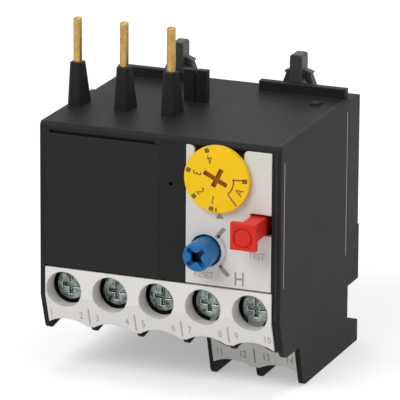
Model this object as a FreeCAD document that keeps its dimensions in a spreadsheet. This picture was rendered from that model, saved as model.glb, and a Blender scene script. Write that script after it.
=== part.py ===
import FreeCAD, Part

import math
import os
import re
import Sketcher

# Thermal overload relay that plugs into the bottom of a small motor contactor.
# Millimetres. X runs to the right, Y to the back, Z up. The origin is the middle of the
# footprint, on the surface that the relay stands on.

CASE_SIZES = {
    "case_width": 45.0,         # over both side walls
    "case_depth": 39.9,         # front face to the back of the foot
    "back_step": 0.6,           # the back above the step, in front of the foot's back
    "deck_height": 46.5,        # underside to the plug-in deck
    "rear_deck_drop": 0.25,     # rear shell's deck below the front shell's
    "seam_behind": 2.3,         # lower terminal pocket's back to the joint between the shells
    "seam_gap": 0.15,
    "rear_inset": 0.25,         # rear shell's left side inside the front shell's
    "lip_round": 0.9,
    "wall": 1.0,
    "deck_thick": 1.6,
    "front_wall": 2.2,          # front face to the inside of the front wall
    "cover_thick": 0.9,         # side cover
    "cover_short": 4.8,         # side cover's back edge above the step, in front of the back
    "step_height": 22.0,
    "foot_clear": 9.0,          # underside of the left half above the foot
    "foot_length": 6.9,         # foot on the left, from its front face to the back
    "foot_rest": 4.2,           # part of it that touches the surface
    "foot_toe": 1.2,            # height of its front edge above the surface
    "notch_low": 5.0,
    "notch_high": 11.8,
    "notch_deep": 5.4,          # back of the foot to the bottom of the rear notch
    "lip_height": 4.0,
    "lip_slant": 2.3,
    "lip_top": 4.8,
    "shelf_low": 20.5,          # shelf over the upper terminals
    "shelf_thick": 1.1,
    "bump_x": 17.7,             # small moulded bump on the deck
    "bump_depth": 29.6,
    "bump_width": 1.6,
    "bump_length": 2.0,
    "bump_height": 0.5,
}
TIER_SIZES = {
    "chin_height": 14.9,        # where the front face starts to slant back
    "chin_tip": 7.8,
    "chin_setback": 2.3,
    "chin_round": 1.6,
    "cover_chin_round": 2.2,
    "tier_setback": 9.7,        # front face to the lower terminal plate
    "lower_chin": 8.2,
    "lower_setback": 2.4,
    "lower_round": 1.8,
    "lower_width": 17.45,       # lower terminal block, with the side cover
    "lower_top": 12.6,
    "ceiling_thick": 1.2,
    "divider": 0.75,
    "pocket_depth": 11.0,       # terminal plate's face to the pocket's back wall
    "plate_thick": 1.0,
    "terminal_margin": 0.63,    # case's side to the room of the first terminal
    "terminal_shift": 0.566,    # middle terminal to the left of the middle
    "screw_height": 16.2,
    "hole_radius": 3.3,
    "lower_inset": 4.35,
    "lower_pitch": 8.8,
    "lower_screw_height": 9.3,
    "lower_hole_radius": 3.2,
    "strip_top": 20.14,
    "cheek_thick": 0.9,
    "strip_margin": 0.7,        # terminal strip to the side cover
    "strip_bottom": 9.35,
    "arch_rise": 1.15,
    "arch_half": 3.7,
    "lower_strip_bottom": 2.5,
    "lower_arch_rise": 1.0,
}
TERMINAL_SIZES = {
    "head_radius": 2.55,
    "head_thick": 1.5,
    "head_depth": 3.3,          # terminal plate's face to the screw's head
    "shank_radius": 1.45,
    "shank_length": 5.3,
    "recess_width": 0.75,
    "recess_length": 3.3,
    "recess_depth": 0.9,
    "clamp_width": 6.0,
    "clamp_height": 5.4,
    "clamp_thick": 0.8,
    "clamp_gap": 0.1,           # screw head to clamp plate
    "bar_depth": 6.7,
    "bar_thick": 1.2,
    "bar_width": 5.6,
    "bar_low": 3.0,             # screw's axis down to the end of the bar
    "bar_high": 2.9,
    "thread_gap": 0.05,         # running clearance of shafts in their holes
    "loose_gap": 0.2,           # clearance between pieces that move past each other
    "tongue_width": 3.0,
    "tongue_thick": 1.0,
    "tongue_end": 2.4,          # end of a load bar's tongue to the bimetal strip
}
FRONT_SIZES = {
    "panel_width": 15.8,
    "panel_margin": 1.75,       # case's right side to the panel
    "panel_bottom": 20.5,
    "panel_drop": 1.1,          # deck down to the panel's top
    "left_tab": 1.55,           # panel's two tabs beside the dial
    "right_tab": 5.1,
    "tab_round": 0.9,
    "insert_margin": 1.3,
    "insert_bottom": 20.5,
    "insert_drop": 1.9,
    "front_gap": 5.25,          # front insert to the panel
    "groove_inset": 0.45,
    "groove_height": 0.6,
    "groove_deep": 0.6,
    "pin_hole_gap": 2.85,
    "pin_hole_z": 37.9,
    "pin_hole_radius": 0.35,
    "pin_hole_deep": 1.5,
    "dial_inset": 6.03,         # panel's left edge to the dial's axis
    "dial_drop": 6.55,          # deck down to the dial's axis
    "dial_radius": 6.0,
    "dial_thick": 0.9,
    "dial_gap": 0.15,
    "slot_deep": 0.5,           # screwdriver cross in the dial, with four unequal arms
    "slot_width": 0.85,
    "slot_arm_1": 2.6,
    "slot_arm_2": 2.1,
    "slot_arm_3": 2.1,
    "slot_arm_4": 1.5,
    "slot_angle": 154.0,        # longest arm, in degrees from the right
    "dial_shaft": 1.7,
    "eccentric_radius": 2.7,
    "eccentric_offset": 0.25,
    "cam_depth": 4.0,
    "cam_thick": 2.0,
    "reset_inset": 3.69,
    "reset_z": 26.65,
    "reset_radius": 2.58,
    "reset_play": 0.32,
    "reset_reach": 4.5,
    "reset_skirt": 2.8,         # how far the button reaches in behind the front face
    "reset_edge": 0.3,
    "reset_web": 0.4,           # front face to the end of the button's bore, in front of it
    "socket_side": 1.9,
    "socket_deep": 2.2,
    "cross_width": 0.9,
    "cross_length": 4.2,
    "cross_deep": 0.7,
    "button_inset": 1.0,        # panel's right edge to the test button
    "button_width": 4.7,
    "button_bottom": 29.05,
    "button_top": 33.9,
    "button_reach": 4.9,
    "button_plate": 1.0,
    "button_ring": 1.85,
    "button_boss": 1.45,
    "ring_deep": 0.3,
    "ring_drop": 0.2,
    "neck_width": 2.7,
    "neck_rise": 1.73,          # button's lower edge to its neck
    "neck_depth": 6.5,
}
TOP_SIZES = {
    "pin_inset": 1.9,           # case's left side to the first plug pin
    "pin_pitch": 8.85,
    "pin_depth": 12.3,
    "pin_radius": 0.78,
    "pin_neck": 0.5,            # radius of the part held in the sleeve
    "pin_length": 8.0,
    "pin_point": 0.2,
    "strap_width": 2.4,
    "strap_start": 0.6,         # pin's middle to the end of its strap
    "strap_thick": 0.9,
    "sleeve_height": 7.9,
    "sleeve_half": 1.35,        # foot of a pin's sleeve, each side of the pin
    "sleeve_front": 1.8,
    "sleeve_back": 3.2,
    "sleeve_tip": 1.15,
    "sleeve_bevel": 0.4,
    "ridge_height": 1.7,
    "ridge_behind": 5.0,        # ridge's front face to the back above the step
    "ridge_thick": 1.5,
    "ridge_end_left": 0.3,      # case's sides to the ridges' ends
    "ridge_end_right": 1.0,
    "ridge_gap_left": -5.0,
    "ridge_gap_right": 5.1,
    "post_left": -4.2,
    "post_width": 4.35,
    "post_behind": 1.5,         # post's front face to the joint between the shells
    "post_thick": 1.4,
    "post_height": 6.0,
    "post_notch": 0.3,
    "post_web": 0.1,            # share of the width that is the web between the lobes
    "post_web_drop": 0.8,
    "hook_spread": 11.4,        # middle plane to each hook
    "hook_height": 6.85,
    "hook_round": 0.5,
    "blade_half": 1.15,
    "blade_behind": 3.1,        # blade's front face to the back above the step
    "blade_lean": 0.35,
    "blade_clear": 0.1,
    "barb_half": 2.65,
    "barb_height": 3.45,
    "barb_edge": 0.35,
    "barb_under": 0.45,
    "arm_half": 3.45,
    "arm_thick": 0.85,
    "arm_behind": 1.9,
    "arm_clear": 0.3,
}
CAM_SIZES = {
    "yoke_gap": 0.07,           # eccentric to the sides of the yoke's slot
    "slide_before": 2.1,        # slide's left end to the lever's pivot
    "slide_after": 4.62,        # dial's axis to the slide's right end
    "slide_half": 3.7,
    "slide_thick": 1.4,
    "rail_thick": 1.0,
    "rail_depth": 6.0,
    "rail_past": 1.0,
    "lever_offset": 5.48,       # dial's axis to the trip lever's pivot
    "lever_drop": 5.5,          # deck down to the pivot
    "lever_half": 0.4,
    "lever_end": 21.9,
    "lever_hub": 1.5,
    "lever_pin": 0.8,
    "pin_past": 0.4,
}
INNER_SIZES = {
    "strip_inset": 5.5,         # bimetal strips: case's left side to the first
    "strip_slack": 1.3,
    "strip_thick": 0.8,
    "strip_wide": 5.0,
    "strip_end": 21.9,
    "grip_height": 2.6,
    "grip_roof": 0.4,
    "grip_thick": 1.1,
    "grip_past": 0.4,
    "grip_gap": 0.2,            # strip to the sides of its grip, for the swing of the strip
    "heater_gap": 0.3,
    "heater_wire": 0.5,
    "heater_clear": 2.5,        # top turn to the grip
    "heater_low": 27.0,
    "tape_share": 0.55,         # share of a turn's height that is tape
    "tray_low": 20.6,
    "tray_thick": 1.0,
    "tray_edge": 0.3,
    "guide_width": 1.5,
    "guide_wall": 0.7,
    "guide_shift": 0.5,
    "bar_clear": 1.4,           # bars to the edges of the strips
    "bar_deep": 1.6,
    "bar_bottom": 22.4,
    "bar_top": 24.8,
    "bar_inset": 3.0,
    "bar_nose_gap": 0.3,        # trip bar's end to the lever
    "rear_bar_short": 3.0,
    "finger_thick": 0.9,
    "finger_reach": 3.0,
    "bimetal_gap": 0.25,
    "rocker_inset": 9.5,        # case's right side to the contact rocker's axle
    "rocker_z": 27.6,
    "rocker_pin": 0.9,
    "rocker_hub": 1.8,
    "hub_gap": 0.3,
    "nose_reach": 2.0,          # lever's pivot to the rocker's nose
    "nose_width": 1.2,
    "nose_low": 22.7,
    "nose_high": 24.4,
    "cross_half": 1.5,
    "bridge_offset": 4.3,       # rocker's pivot to each contact bridge
    "bridge_low": 24.9,
    "bridge_thick": 1.0,
    "bridge_start": 4.0,        # trip bar to the bridges' front ends
    "bridge_stop": 3.0,         # bridges' rear ends to the bracket
    "bridge_half": 0.9,
    "tip_inset": 1.0,
    "tip_half": 0.5,
    "tip_high": 0.3,
    "contact_gap": 1.15,        # open contact, tip to bar
    "contact_touch": 0.06,
    "plate_behind": 1.2,        # terminal pockets' back wall to the inner plate
    "inner_plate": 1.2,
    "plate_edge": 0.25,
    "plate_clear": 5.0,         # plate's top edge under the trip lever's pivot
    "lever_clear": 0.6,         # inner plate to the trip lever
    "bracket_behind": 2.5,
    "bracket_inset": 1.15,
    "bracket_low": 5.0,
    "bracket_high": 31.5,
    "reset_shaft": 1.2,
    "reset_flange": 2.2,
    "flange_depth": 3.1,
    "flange_thick": 0.8,
    "tail_past": 1.5,
    "tail_radius": 0.6,
    "spigot_radius": 0.6,
    "spigot_length": 2.0,
    "spring_gap": 0.1,          # end of a spring to the face it bears on
    "reset_coil": 1.65,
    "test_coil": 1.15,
    "coil_wire": 0.22,
    "coil_turns": 5.0,
}
SIZES = {**CASE_SIZES, **TIER_SIZES, **TERMINAL_SIZES, **FRONT_SIZES, **TOP_SIZES, **CAM_SIZES,
         **INNER_SIZES}

UPPER_TERMINALS = 5
LOWER_TERMINALS = 2
POLES = 3
HEATER_TURNS = 6
COIL_STEPS = 8                  # straight runs in a turn of spring wire
COIL_SIDES = 4

# Places that follow from the sizes. Depths count from the front face towards the back.
PLACES = {
    "left_side": "-case_width / 2",
    "right_side": "case_width / 2",
    "cover_face": "right_side - cover_thick",
    "upper_depth": "case_depth - back_step",
    "cover_depth": "upper_depth - cover_short",
    "notch_depth": "case_depth - notch_deep",
    "lip_depth": "case_depth - lip_slant",
    "foot_depth": "case_depth - foot_length",
    "rest_depth": "case_depth - foot_rest",
    "seam_depth": "tier_setback + pocket_depth + seam_behind",
    "terminal_pitch": "(case_width - 2 * terminal_margin) / 5",
    "terminal_first": "-2 * terminal_pitch - terminal_shift",
    "strip_left": "left_side + cheek_thick",
    "strip_right": "cover_face - strip_margin",
    "lower_left": "right_side - lower_width",
    "lower_first": "lower_left + lower_inset",
    "panel_right": "right_side - panel_margin",
    "panel_left": "panel_right - panel_width",
    "panel_top": "deck_height - panel_drop",
    "tab_left": "panel_left + left_tab",
    "tab_right": "panel_right - right_tab",
    "insert_left": "left_side + insert_margin",
    "insert_right": "panel_left - front_gap",
    "insert_top": "deck_height - insert_drop",
    "groove_left": "insert_left + groove_inset",
    "groove_right": "insert_right - groove_inset",
    "pin_hole_x": "panel_left - pin_hole_gap",
    "dial_x": "panel_left + dial_inset",
    "dial_z": "deck_height - dial_drop",
    "reset_x": "panel_left + reset_inset",
    "reset_hole": "reset_radius + reset_play",
    "button_right": "panel_right - button_inset",
    "button_left": "button_right - button_width",
    "neck_left": "button_right - neck_width",
    "neck_bottom": "button_bottom + neck_rise",
    "port_left": "neck_left - loose_gap",
    "port_bottom": "neck_bottom - loose_gap",
    "port_top": "button_top + 2 * loose_gap",
    "pin_first": "left_side + pin_inset",
    "ridge_depth": "upper_depth - ridge_behind",
    "ridge_left": "left_side + ridge_end_left",
    "ridge_right": "right_side - ridge_end_right",
    "post_right": "post_left + post_width",
    "post_depth": "seam_depth - post_behind",
    "blade_front": "upper_depth - blade_behind",
    "blade_back": "upper_depth - blade_clear",
    "arm_front": "upper_depth - arm_behind",
    "arm_back": "upper_depth - arm_clear",
    "lever_x": "dial_x - lever_offset",
    "lever_z": "deck_height - lever_drop",
    "slide_left": "lever_x - slide_before",
    "slide_right": "dial_x + slide_after",
    "slide_low": "dial_z - slide_half",
    "slide_high": "dial_z + slide_half",
    "plate_depth": "pocket_depth + wall + plate_behind",
    "plate_left": "lower_left - plate_edge",
    "plate_top": "lever_z - plate_clear",
    "bar_front": "plate_depth + inner_plate + lever_clear",
    "strip_front": "bar_front + bar_deep + bar_clear",
    "bar_rear": "strip_front + strip_wide + bar_clear",
    "strip_first": "left_side + strip_inset",
    "strip_pitch": "(case_width - lower_width - strip_slack) / 3",
    "strap_low": "deck_height - deck_thick - strap_thick",
    "grip_top": "strap_low - grip_roof",
    "grip_low": "grip_top - grip_height",
    "heater_step": "(grip_low - heater_clear - heater_low) / 6",
    "tray_right": "lower_left - divider",
    "tray_depth": "bar_rear + bar_deep + loose_gap + guide_wall + tray_edge",
    "bar_left": "left_side + bar_inset",
    "bar_nose": "lever_x - lever_half - bar_nose_gap",
    "rocker_x": "right_side - rocker_inset",
    "nose_x": "lever_x + nose_reach",
    "bracket_depth": "notch_depth - bracket_behind",
    "bracket_left": "lower_left + bracket_inset",
    "bridge_front": "bar_front + bridge_start",
    "bridge_back": "bracket_depth - bridge_stop",
    "cross_depth": "(bridge_front + bridge_back) / 2",
    "reset_tail": "plate_depth + tail_past",
}
FRONT = "(button_reach - case_depth) / 2"
LEFT = "left_side"
RIGHT = "right_side"
COVER_FACE = "cover_face"
ALONG = {
    "x": FreeCAD.Rotation(FreeCAD.Vector(0, 1, 0), 90),
    "y": FreeCAD.Rotation(FreeCAD.Vector(1, 0, 0), -90),
    "z": FreeCAD.Rotation(),
}
DRAWN_ON = {
    "yz": FreeCAD.Rotation(FreeCAD.Vector(0, 1, 0), FreeCAD.Vector(0, 0, 1), FreeCAD.Vector(1, 0, 0), "ZXY"),
    "xz": FreeCAD.Rotation(FreeCAD.Vector(1, 0, 0), 90),
    "xy": FreeCAD.Rotation(),
}
ACROSS = {
    "yz": FreeCAD.Vector(1, 0, 0),
    "xz": FreeCAD.Vector(0, 1, 0),
    "xy": FreeCAD.Vector(0, 0, 1),
}

doc = FreeCAD.newDocument("OverloadRelay")
sheet = doc.addObject("Spreadsheet::Sheet", "Dims")
for row, (alias, number) in enumerate(SIZES.items(), start=1):
    sheet.set(f"A{row}", alias)
    sheet.set(f"B{row}", str(number))
    sheet.setAlias(f"B{row}", alias)
doc.recompute()
PARTS = {}


# ---- drawing helpers -------------------------------------------------------------------

def bind(text):
    """Point every size named in an expression at its cell in the sheet, with each place spelled out."""
    def spell(word):
        name = word.group()
        if name in PLACES:
            return f"({bind(PLACES[name])})"
        return ("Dims." if name in SIZES else "") + name
    return re.sub(r"[a-z]\w*", spell, text)


def worth(text):
    """The number that an expression comes to with the sheet as it stands."""
    return float(sheet.evalExpression(bind(text)))


def deep(text):
    """A distance behind the front face, as a Y position."""
    return f"({FRONT} + {text})"


def keep(node, item):
    """Name a finished piece."""
    item.Label = node
    PARTS[node] = item
    return item


def place(item, x, y, z):
    item.setExpression(".Placement.Base.x", bind(x))
    item.setExpression(".Placement.Base.y", bind(y))
    item.setExpression(".Placement.Base.z", bind(z))


def block(name, x, y, z):
    """A box; each axis is a (low, high) pair."""
    item = doc.addObject("Part::Box", name)
    for side, (low, high) in zip(("Length", "Width", "Height"), (x, y, z)):
        item.setExpression(side, bind(f"({high}) - ({low})"))
    place(item, x[0], y[0], z[0])
    return item


def rod(name, axis, centre, span, radius):
    """A cylinder along one axis; centre holds the other two coordinates in X, Y, Z order."""
    item = doc.addObject("Part::Cylinder", name)
    item.Placement = FreeCAD.Placement(FreeCAD.Vector(), ALONG[axis])
    item.setExpression("Radius", bind(radius))
    item.setExpression("Height", bind(f"({span[1]}) - ({span[0]})"))
    spots = list(centre)
    spots.insert("xyz".index(axis), span[0])
    place(item, *spots)
    return item


def profile(name, plane, corners, span):
    """A straight-sided outline, drawn in a sketch and extruded from one end of a span to the other."""
    sketch = doc.addObject("Sketcher::SketchObject", name + "_outline")
    points = [FreeCAD.Vector(worth(a), worth(b), 0) for a, b in corners]
    count = len(points)
    sketch.addGeometry([Part.LineSegment(points[i], points[(i + 1) % count]) for i in range(count)])
    for i in range(count):
        sketch.addConstraint(Sketcher.Constraint("Coincident", i, 2, (i + 1) % count, 1))
    for i, corner in enumerate(corners):
        for kind, text, number in zip(("DistanceX", "DistanceY"), corner, points[i]):
            index = sketch.addConstraint(Sketcher.Constraint(kind, -1, 1, i, 1, number))
            sketch.renameConstraint(index, f"{kind}{i}")
            sketch.setExpression(f"Constraints.{kind}{i}", bind(text))
    sketch.Placement = FreeCAD.Placement(FreeCAD.Vector(), DRAWN_ON[plane])
    across = {"yz": "x", "xz": "y", "xy": "z"}[plane]
    sketch.setExpression(f".Placement.Base.{across}", bind(span[0]))
    item = doc.addObject("Part::Extrusion", name)
    item.Base = sketch
    item.DirMode = "Custom"
    item.Dir = ACROSS[plane]
    item.Solid = True
    item.setExpression("LengthFwd", bind(f"({span[1]}) - ({span[0]})"))
    return item


def join(name, *items):
    item = doc.addObject("Part::MultiFuse", name)
    item.Shapes = list(items)
    item.Refine = True
    return item


def cut(name, base, *tools):
    item = doc.addObject("Part::Cut", name)
    item.Base = base
    item.Tool = tools[0] if len(tools) == 1 else join(name + "_tools", *tools)
    item.Refine = True
    return item


def wanted_edges(base, wanted):
    """Numbers of the edges that a test picks, each by its middle point and direction."""
    picked = []
    for index, edge in enumerate(base.Shape.Edges, start=1):
        along = edge.tangentAt((edge.FirstParameter + edge.LastParameter) / 2)
        if wanted(edge.CenterOfMass, along):
            picked.append(index)
    return picked


def fillet(name, base, radius, wanted):
    """Round the edges that a test picks."""
    doc.recompute()
    item = doc.addObject("Part::Fillet", name)
    item.Base = base
    size = worth(radius)
    item.Edges = [(index, size, size) for index in wanted_edges(base, wanted)]
    return item


def chamfer(name, base, size, wanted):
    """Bevel the edges that a test picks."""
    doc.recompute()
    item = doc.addObject("Part::Chamfer", name)
    item.Base = base
    width = worth(size)
    item.Edges = [(index, width, width) for index in wanted_edges(base, wanted)]
    return item


def near(value, text, slack=0.05):
    return abs(value - worth(text)) < slack


# ---- places that repeat ----------------------------------------------------------------

def upper_x(i):
    return f"(terminal_first + {i} * terminal_pitch)"


def lower_x(i):
    return f"(lower_first + {i} * lower_pitch)"


def pin_x(i):
    return f"(pin_first + {i} * pin_pitch)"


def bimetal_x(i):
    return f"(strip_first + {i} * strip_pitch)"


def about(middle, half):
    return f"({middle}) - ({half})", f"({middle}) + ({half})"


# ---- housing shells --------------------------------------------------------------------

def chin_wall(name, start, span, low_back):
    """A wall between two upper terminals, from a depth behind the front face to the pocket's back."""
    corners = [
        (deep(start), "shelf_low"),
        (deep(start), "chin_height"),
        (deep(f"{start} + chin_setback"), "chin_tip"),
        (deep(low_back), "foot_clear"),
    ]
    if low_back != "pocket_depth":
        corners += [(deep(low_back), "lower_top"), (deep("pocket_depth"), "lower_top")]
    corners.append((deep("pocket_depth"), "shelf_low"))
    wall = profile(name + "_flat", "yz", corners, span)
    return fillet(name, wall, "chin_round", lambda middle, along: abs(along.x) > 0.9
                  and near(middle.z, "chin_tip") and middle.y < worth(deep("tier_setback - 1")))


def lower_wall(name, start, span, back):
    """A wall of the lower terminal block, with its slanted and rounded foot."""
    corners = [
        (deep(f"tier_setback + {start}"), "lower_top"),
        (deep(f"tier_setback + {start}"), "lower_chin"),
        (deep(f"tier_setback + {start} + lower_setback"), "0"),
        (deep(back), "0"),
        (deep(back), "lower_top"),
    ]
    wall = profile(name + "_flat", "yz", corners, span)
    return fillet(name, wall, "lower_round", lambda middle, along: abs(along.x) > 0.9
                  and near(middle.z, "0") and middle.y < worth(deep("tier_setback + 6")))


def front_blocks():
    """Outside of the front shell: the box above the shelf and the two blocks behind the terminals."""
    seam = deep("seam_depth")
    return [
        block("upper_block", (LEFT, COVER_FACE), (deep("0"), seam), ("shelf_low", "deck_height")),
        block("middle_block", (LEFT, COVER_FACE), (deep("pocket_depth"), seam), ("foot_clear", "shelf_low + 1")),
        block("right_block", ("lower_left", COVER_FACE), (deep("tier_setback + pocket_depth"), seam),
              ("0", "foot_clear + wall")),
    ]


def front_rooms():
    seam = deep("seam_depth")
    inside = (f"{LEFT} + wall", COVER_FACE)
    behind = (deep("pocket_depth + wall"), seam)
    return [
        block("upper_room", inside, (deep("front_wall"), seam),
              ("shelf_low + shelf_thick", "deck_height - deck_thick")),
        block("left_room", (f"{LEFT} + wall", "lower_left"), behind,
              ("foot_clear + wall", "shelf_low + shelf_thick + 1")),
        block("right_room", ("lower_left - 0.5", COVER_FACE), behind,
              ("lower_top + ceiling_thick", "shelf_low + shelf_thick + 1")),
        block("lower_pocket", ("lower_left", COVER_FACE),
              (deep("pocket_depth - wall"), deep("tier_setback + pocket_depth")),
              ("foot_clear - wall", "lower_top")),
        block("under_room", ("lower_left + divider", COVER_FACE),
              (deep("tier_setback + pocket_depth + wall"), seam), ("wall", "lower_top")),
    ]


def front_walls():
    """Shelves, cheeks and dividers added once the rooms are cut."""
    back = deep("tier_setback + pocket_depth + wall")
    rail_x = ("slide_left", "slide_right + rail_past")
    rail_y = (deep("front_wall - 0.5"), deep("rail_depth"))
    walls = [
        block("lower_ceiling", ("lower_left", COVER_FACE), (deep("tier_setback"), back),
              ("lower_top", "lower_top + ceiling_thick")),
        chin_wall("left_cheek", "0", (LEFT, "strip_left"), "pocket_depth"),
        lower_wall("lower_cheek", "0", ("lower_left", "lower_left + divider"), "seam_depth"),
        lower_wall("lower_divider", "plate_thick", about("lower_first + lower_pitch / 2", "divider / 2"),
                   "tier_setback + pocket_depth"),
        block("rail_low", rail_x, rail_y,
              ("slide_low - loose_gap - rail_thick", "slide_low - loose_gap")),
        block("rail_high", rail_x, rail_y,
              ("slide_high + loose_gap", "deck_height - deck_thick / 2")),
    ]
    for i in range(1, UPPER_TERMINALS):
        low_back = "pocket_depth" if i < 4 else "tier_setback"
        middle = f"{upper_x(i)} - terminal_pitch / 2"
        walls.append(chin_wall(f"divider_{i}", "plate_thick", about(middle, "divider / 2"), low_back))
    return walls


def front_housing():
    shell = cut("front_shell", join("front_solid", *front_blocks()), *front_rooms())
    pieces = front_walls() + [pin_sleeve(i) for i in range(POLES)] + [guide_post()]
    body = join("front_body", shell, *pieces)
    tools = front_recesses() + front_ports() + tongue_slots()
    open_body = cut("front_open", body, *tools)
    return fillet("front_housing", open_body, "lip_round", lambda middle, along: abs(along.x) > 0.9
                  and near(middle.z, "deck_height") and near(middle.y, deep("0")))


def front_recesses():
    face = (deep("-1"), deep("plate_thick"))
    edge = (deep("-1"), deep("groove_deep"))
    return [
        block("insert_seat", ("insert_left", "insert_right"), face, ("insert_bottom - 1", "insert_top")),
        block("panel_seat", ("panel_left", "panel_right"), face, ("panel_bottom - 1", "panel_top")),
        block("top_groove", ("groove_left", "groove_right"), edge,
              ("insert_top", "insert_top + groove_height")),
        rod("pin_hole", "y", ("pin_hole_x", "pin_hole_z"), (deep("-1"), deep("pin_hole_deep")),
            "pin_hole_radius"),
    ]


def front_ports():
    """Holes in the front wall for the dial's shaft and the two buttons, and in the deck for the pins."""
    through = (deep("0"), deep("front_wall + 0.5"))
    holes = [
        rod("dial_bearing", "y", ("dial_x", "dial_z"), through, "dial_shaft + thread_gap"),
        rod("reset_guide", "y", ("reset_x", "reset_z"), through, "reset_hole"),
        block("test_port", ("port_left", "panel_right"), through, ("port_bottom", "port_top")),
    ]
    for i in range(POLES):
        holes.append(rod(f"pin_bore_{i}", "z", (pin_x(i), deep("pin_depth")),
                         ("deck_height - deck_thick - 1", "deck_height + sleeve_height + 1"), "pin_neck"))
    return holes


def tongue_slots():
    """Slots in the pockets' back walls that the terminal bars pass through."""
    slots = []
    for i in range(UPPER_TERMINALS):
        slots.append(block(f"tongue_slot_{i}", about(upper_x(i), "tongue_width / 2"),
                           (deep("pocket_depth - 1"), deep("pocket_depth + wall + 1")),
                           ("screw_height + bar_high - tongue_thick", "screw_height + bar_high")))
    for i in range(LOWER_TERMINALS):
        slots.append(block(f"lower_tongue_slot_{i}", about(lower_x(i), "tongue_width / 2"),
                           (deep("tier_setback + pocket_depth - 1"),
                            deep("tier_setback + pocket_depth + wall + 1")),
                           ("lower_screw_height - bar_low", "lower_screw_height - bar_low + tongue_thick")))
    return slots


def pin_sleeve(i):
    """A tapered insulating sleeve round the foot of a plug pin."""
    item = doc.addObject("Part::Wedge", f"sleeve_flat_{i}")
    item.Placement = FreeCAD.Placement(FreeCAD.Vector(), FreeCAD.Rotation(FreeCAD.Vector(1, 0, 0), 90))
    sides = {
        "Xmin": "-sleeve_half", "Xmax": "sleeve_half", "Zmin": "-sleeve_back", "Zmax": "sleeve_front",
        "X2min": "-sleeve_tip", "X2max": "sleeve_tip", "Z2min": "-sleeve_tip", "Z2max": "sleeve_tip",
        "Ymin": "0", "Ymax": "sleeve_height",
    }
    for side, text in sides.items():
        item.setExpression(side, bind(text))
    place(item, pin_x(i), deep("pin_depth"), "deck_height")
    return chamfer(f"sleeve_{i}", item, "sleeve_bevel", lambda middle, along: abs(along.z) > 0.8)


def guide_post():
    """The two-lobed post that finds the contactor's underside."""
    depth = (deep("post_depth"), deep("post_depth + post_thick"))
    web_edge = "post_width * (1 - post_web) / 2"
    floor = "deck_height - deck_thick / 2"
    top = "deck_height + post_height"
    web = (f"post_left + {web_edge}", f"post_right - {web_edge}")
    return join("guide_post",
                block("post_lobe_left", ("post_left", web[0]), depth, (floor, top)),
                block("post_lobe_right", (web[1], "post_right"), depth, (floor, top)),
                block("post_web", web, (deep("post_depth + post_notch"), depth[1]),
                      (floor, f"{top} - post_web_drop")))


def rear_outline():
    return [
        (deep("seam_depth + seam_gap"), "0"),
        (deep("case_depth"), "0"),
        (deep("case_depth"), "lip_height"),
        (deep("lip_depth"), "lip_top"),
        (deep("notch_depth"), "notch_low"),
        (deep("notch_depth"), "notch_high"),
        (deep("case_depth"), "notch_high"),
        (deep("case_depth"), "step_height"),
        (deep("upper_depth"), "step_height"),
        (deep("upper_depth"), "deck_height - rear_deck_drop"),
        (deep("seam_depth + seam_gap"), "deck_height - rear_deck_drop"),
    ]


def rear_housing():
    body = profile("rear_body", "yz", rear_outline(), (f"{LEFT} + rear_inset", COVER_FACE))
    edge = block("rear_edge", (COVER_FACE, RIGHT), (deep("cover_depth"), deep("upper_depth")),
                 ("step_height", "deck_height - rear_deck_drop"))
    deck = "deck_height - rear_deck_drop"
    ridge_y = (deep("ridge_depth"), deep("ridge_depth + ridge_thick"))
    ridge_z = (f"{deck} - 0.5", f"{deck} + rear_deck_drop + ridge_height")
    left_ridge = block("left_ridge", ("ridge_left", "ridge_gap_left"), ridge_y, ridge_z)
    right_ridge = block("right_ridge", ("ridge_gap_right", "ridge_right"), ridge_y, ridge_z)
    bump = block("deck_bump", about("bump_x", "bump_width / 2"), about(deep("bump_depth"), "bump_length / 2"),
                 (f"{deck} - wall", f"{deck} + bump_height"))
    shell = join("rear_shell", body, edge, left_ridge, right_ridge, bump)
    start = deep("seam_depth")
    tools = [
        profile("rear_under", "yz", [
            (start, "-1"),
            (deep("rest_depth"), "-1"),
            (deep("rest_depth"), "0"),
            (deep("foot_depth"), "foot_toe"),
            (deep("foot_depth"), "foot_clear"),
            (start, "foot_clear"),
        ], (f"{LEFT} - 1", "lower_left")),
        block("rear_room", (f"{LEFT} + wall", COVER_FACE), (start, deep("notch_depth - wall")),
              ("foot_clear + wall", f"{deck} - deck_thick")),
        block("rear_deep_room", (f"{LEFT} + wall", f"{RIGHT} - wall"),
              (deep("notch_depth - wall - 1"), deep("upper_depth - wall")),
              ("notch_high + wall", f"{deck} - deck_thick")),
        block("foot_room", ("lower_left + divider", COVER_FACE), (start,
              deep("notch_depth - wall")), ("wall", "foot_clear + wall + 1")),
    ]
    return cut("rear_housing", shell, *tools)


def cover_outline():
    return [
        (deep("0"), "deck_height"),
        (deep("0"), "chin_height"),
        (deep("chin_setback"), "chin_tip"),
        (deep("tier_setback"), "chin_tip"),
        (deep("tier_setback + lower_setback"), "0"),
        (deep("case_depth"), "0"),
        (deep("case_depth"), "lip_height"),
        (deep("lip_depth"), "lip_top"),
        (deep("notch_depth"), "notch_low"),
        (deep("notch_depth"), "notch_high"),
        (deep("case_depth"), "notch_high"),
        (deep("case_depth"), "step_height"),
        (deep("cover_depth"), "step_height"),
        (deep("cover_depth"), "deck_height"),
    ]


def side_cover():
    flat = profile("side_cover_flat", "yz", cover_outline(), (COVER_FACE, RIGHT))
    near_lip = fillet("side_cover_lip", flat, "lip_round", lambda middle, along: abs(along.x) > 0.9
                      and near(middle.z, "deck_height") and near(middle.y, deep("0")))
    near_chin = fillet("side_cover_chin", near_lip, "cover_chin_round", lambda middle, along: abs(along.x) > 0.9
                       and near(middle.z, "chin_tip") and middle.y < worth(deep("tier_setback - 1")))
    return fillet("side_cover", near_chin, "lower_round", lambda middle, along: abs(along.x) > 0.9
                  and near(middle.z, "0") and middle.y < worth(deep("tier_setback + 6")))


# ---- front plates ----------------------------------------------------------------------

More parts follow.
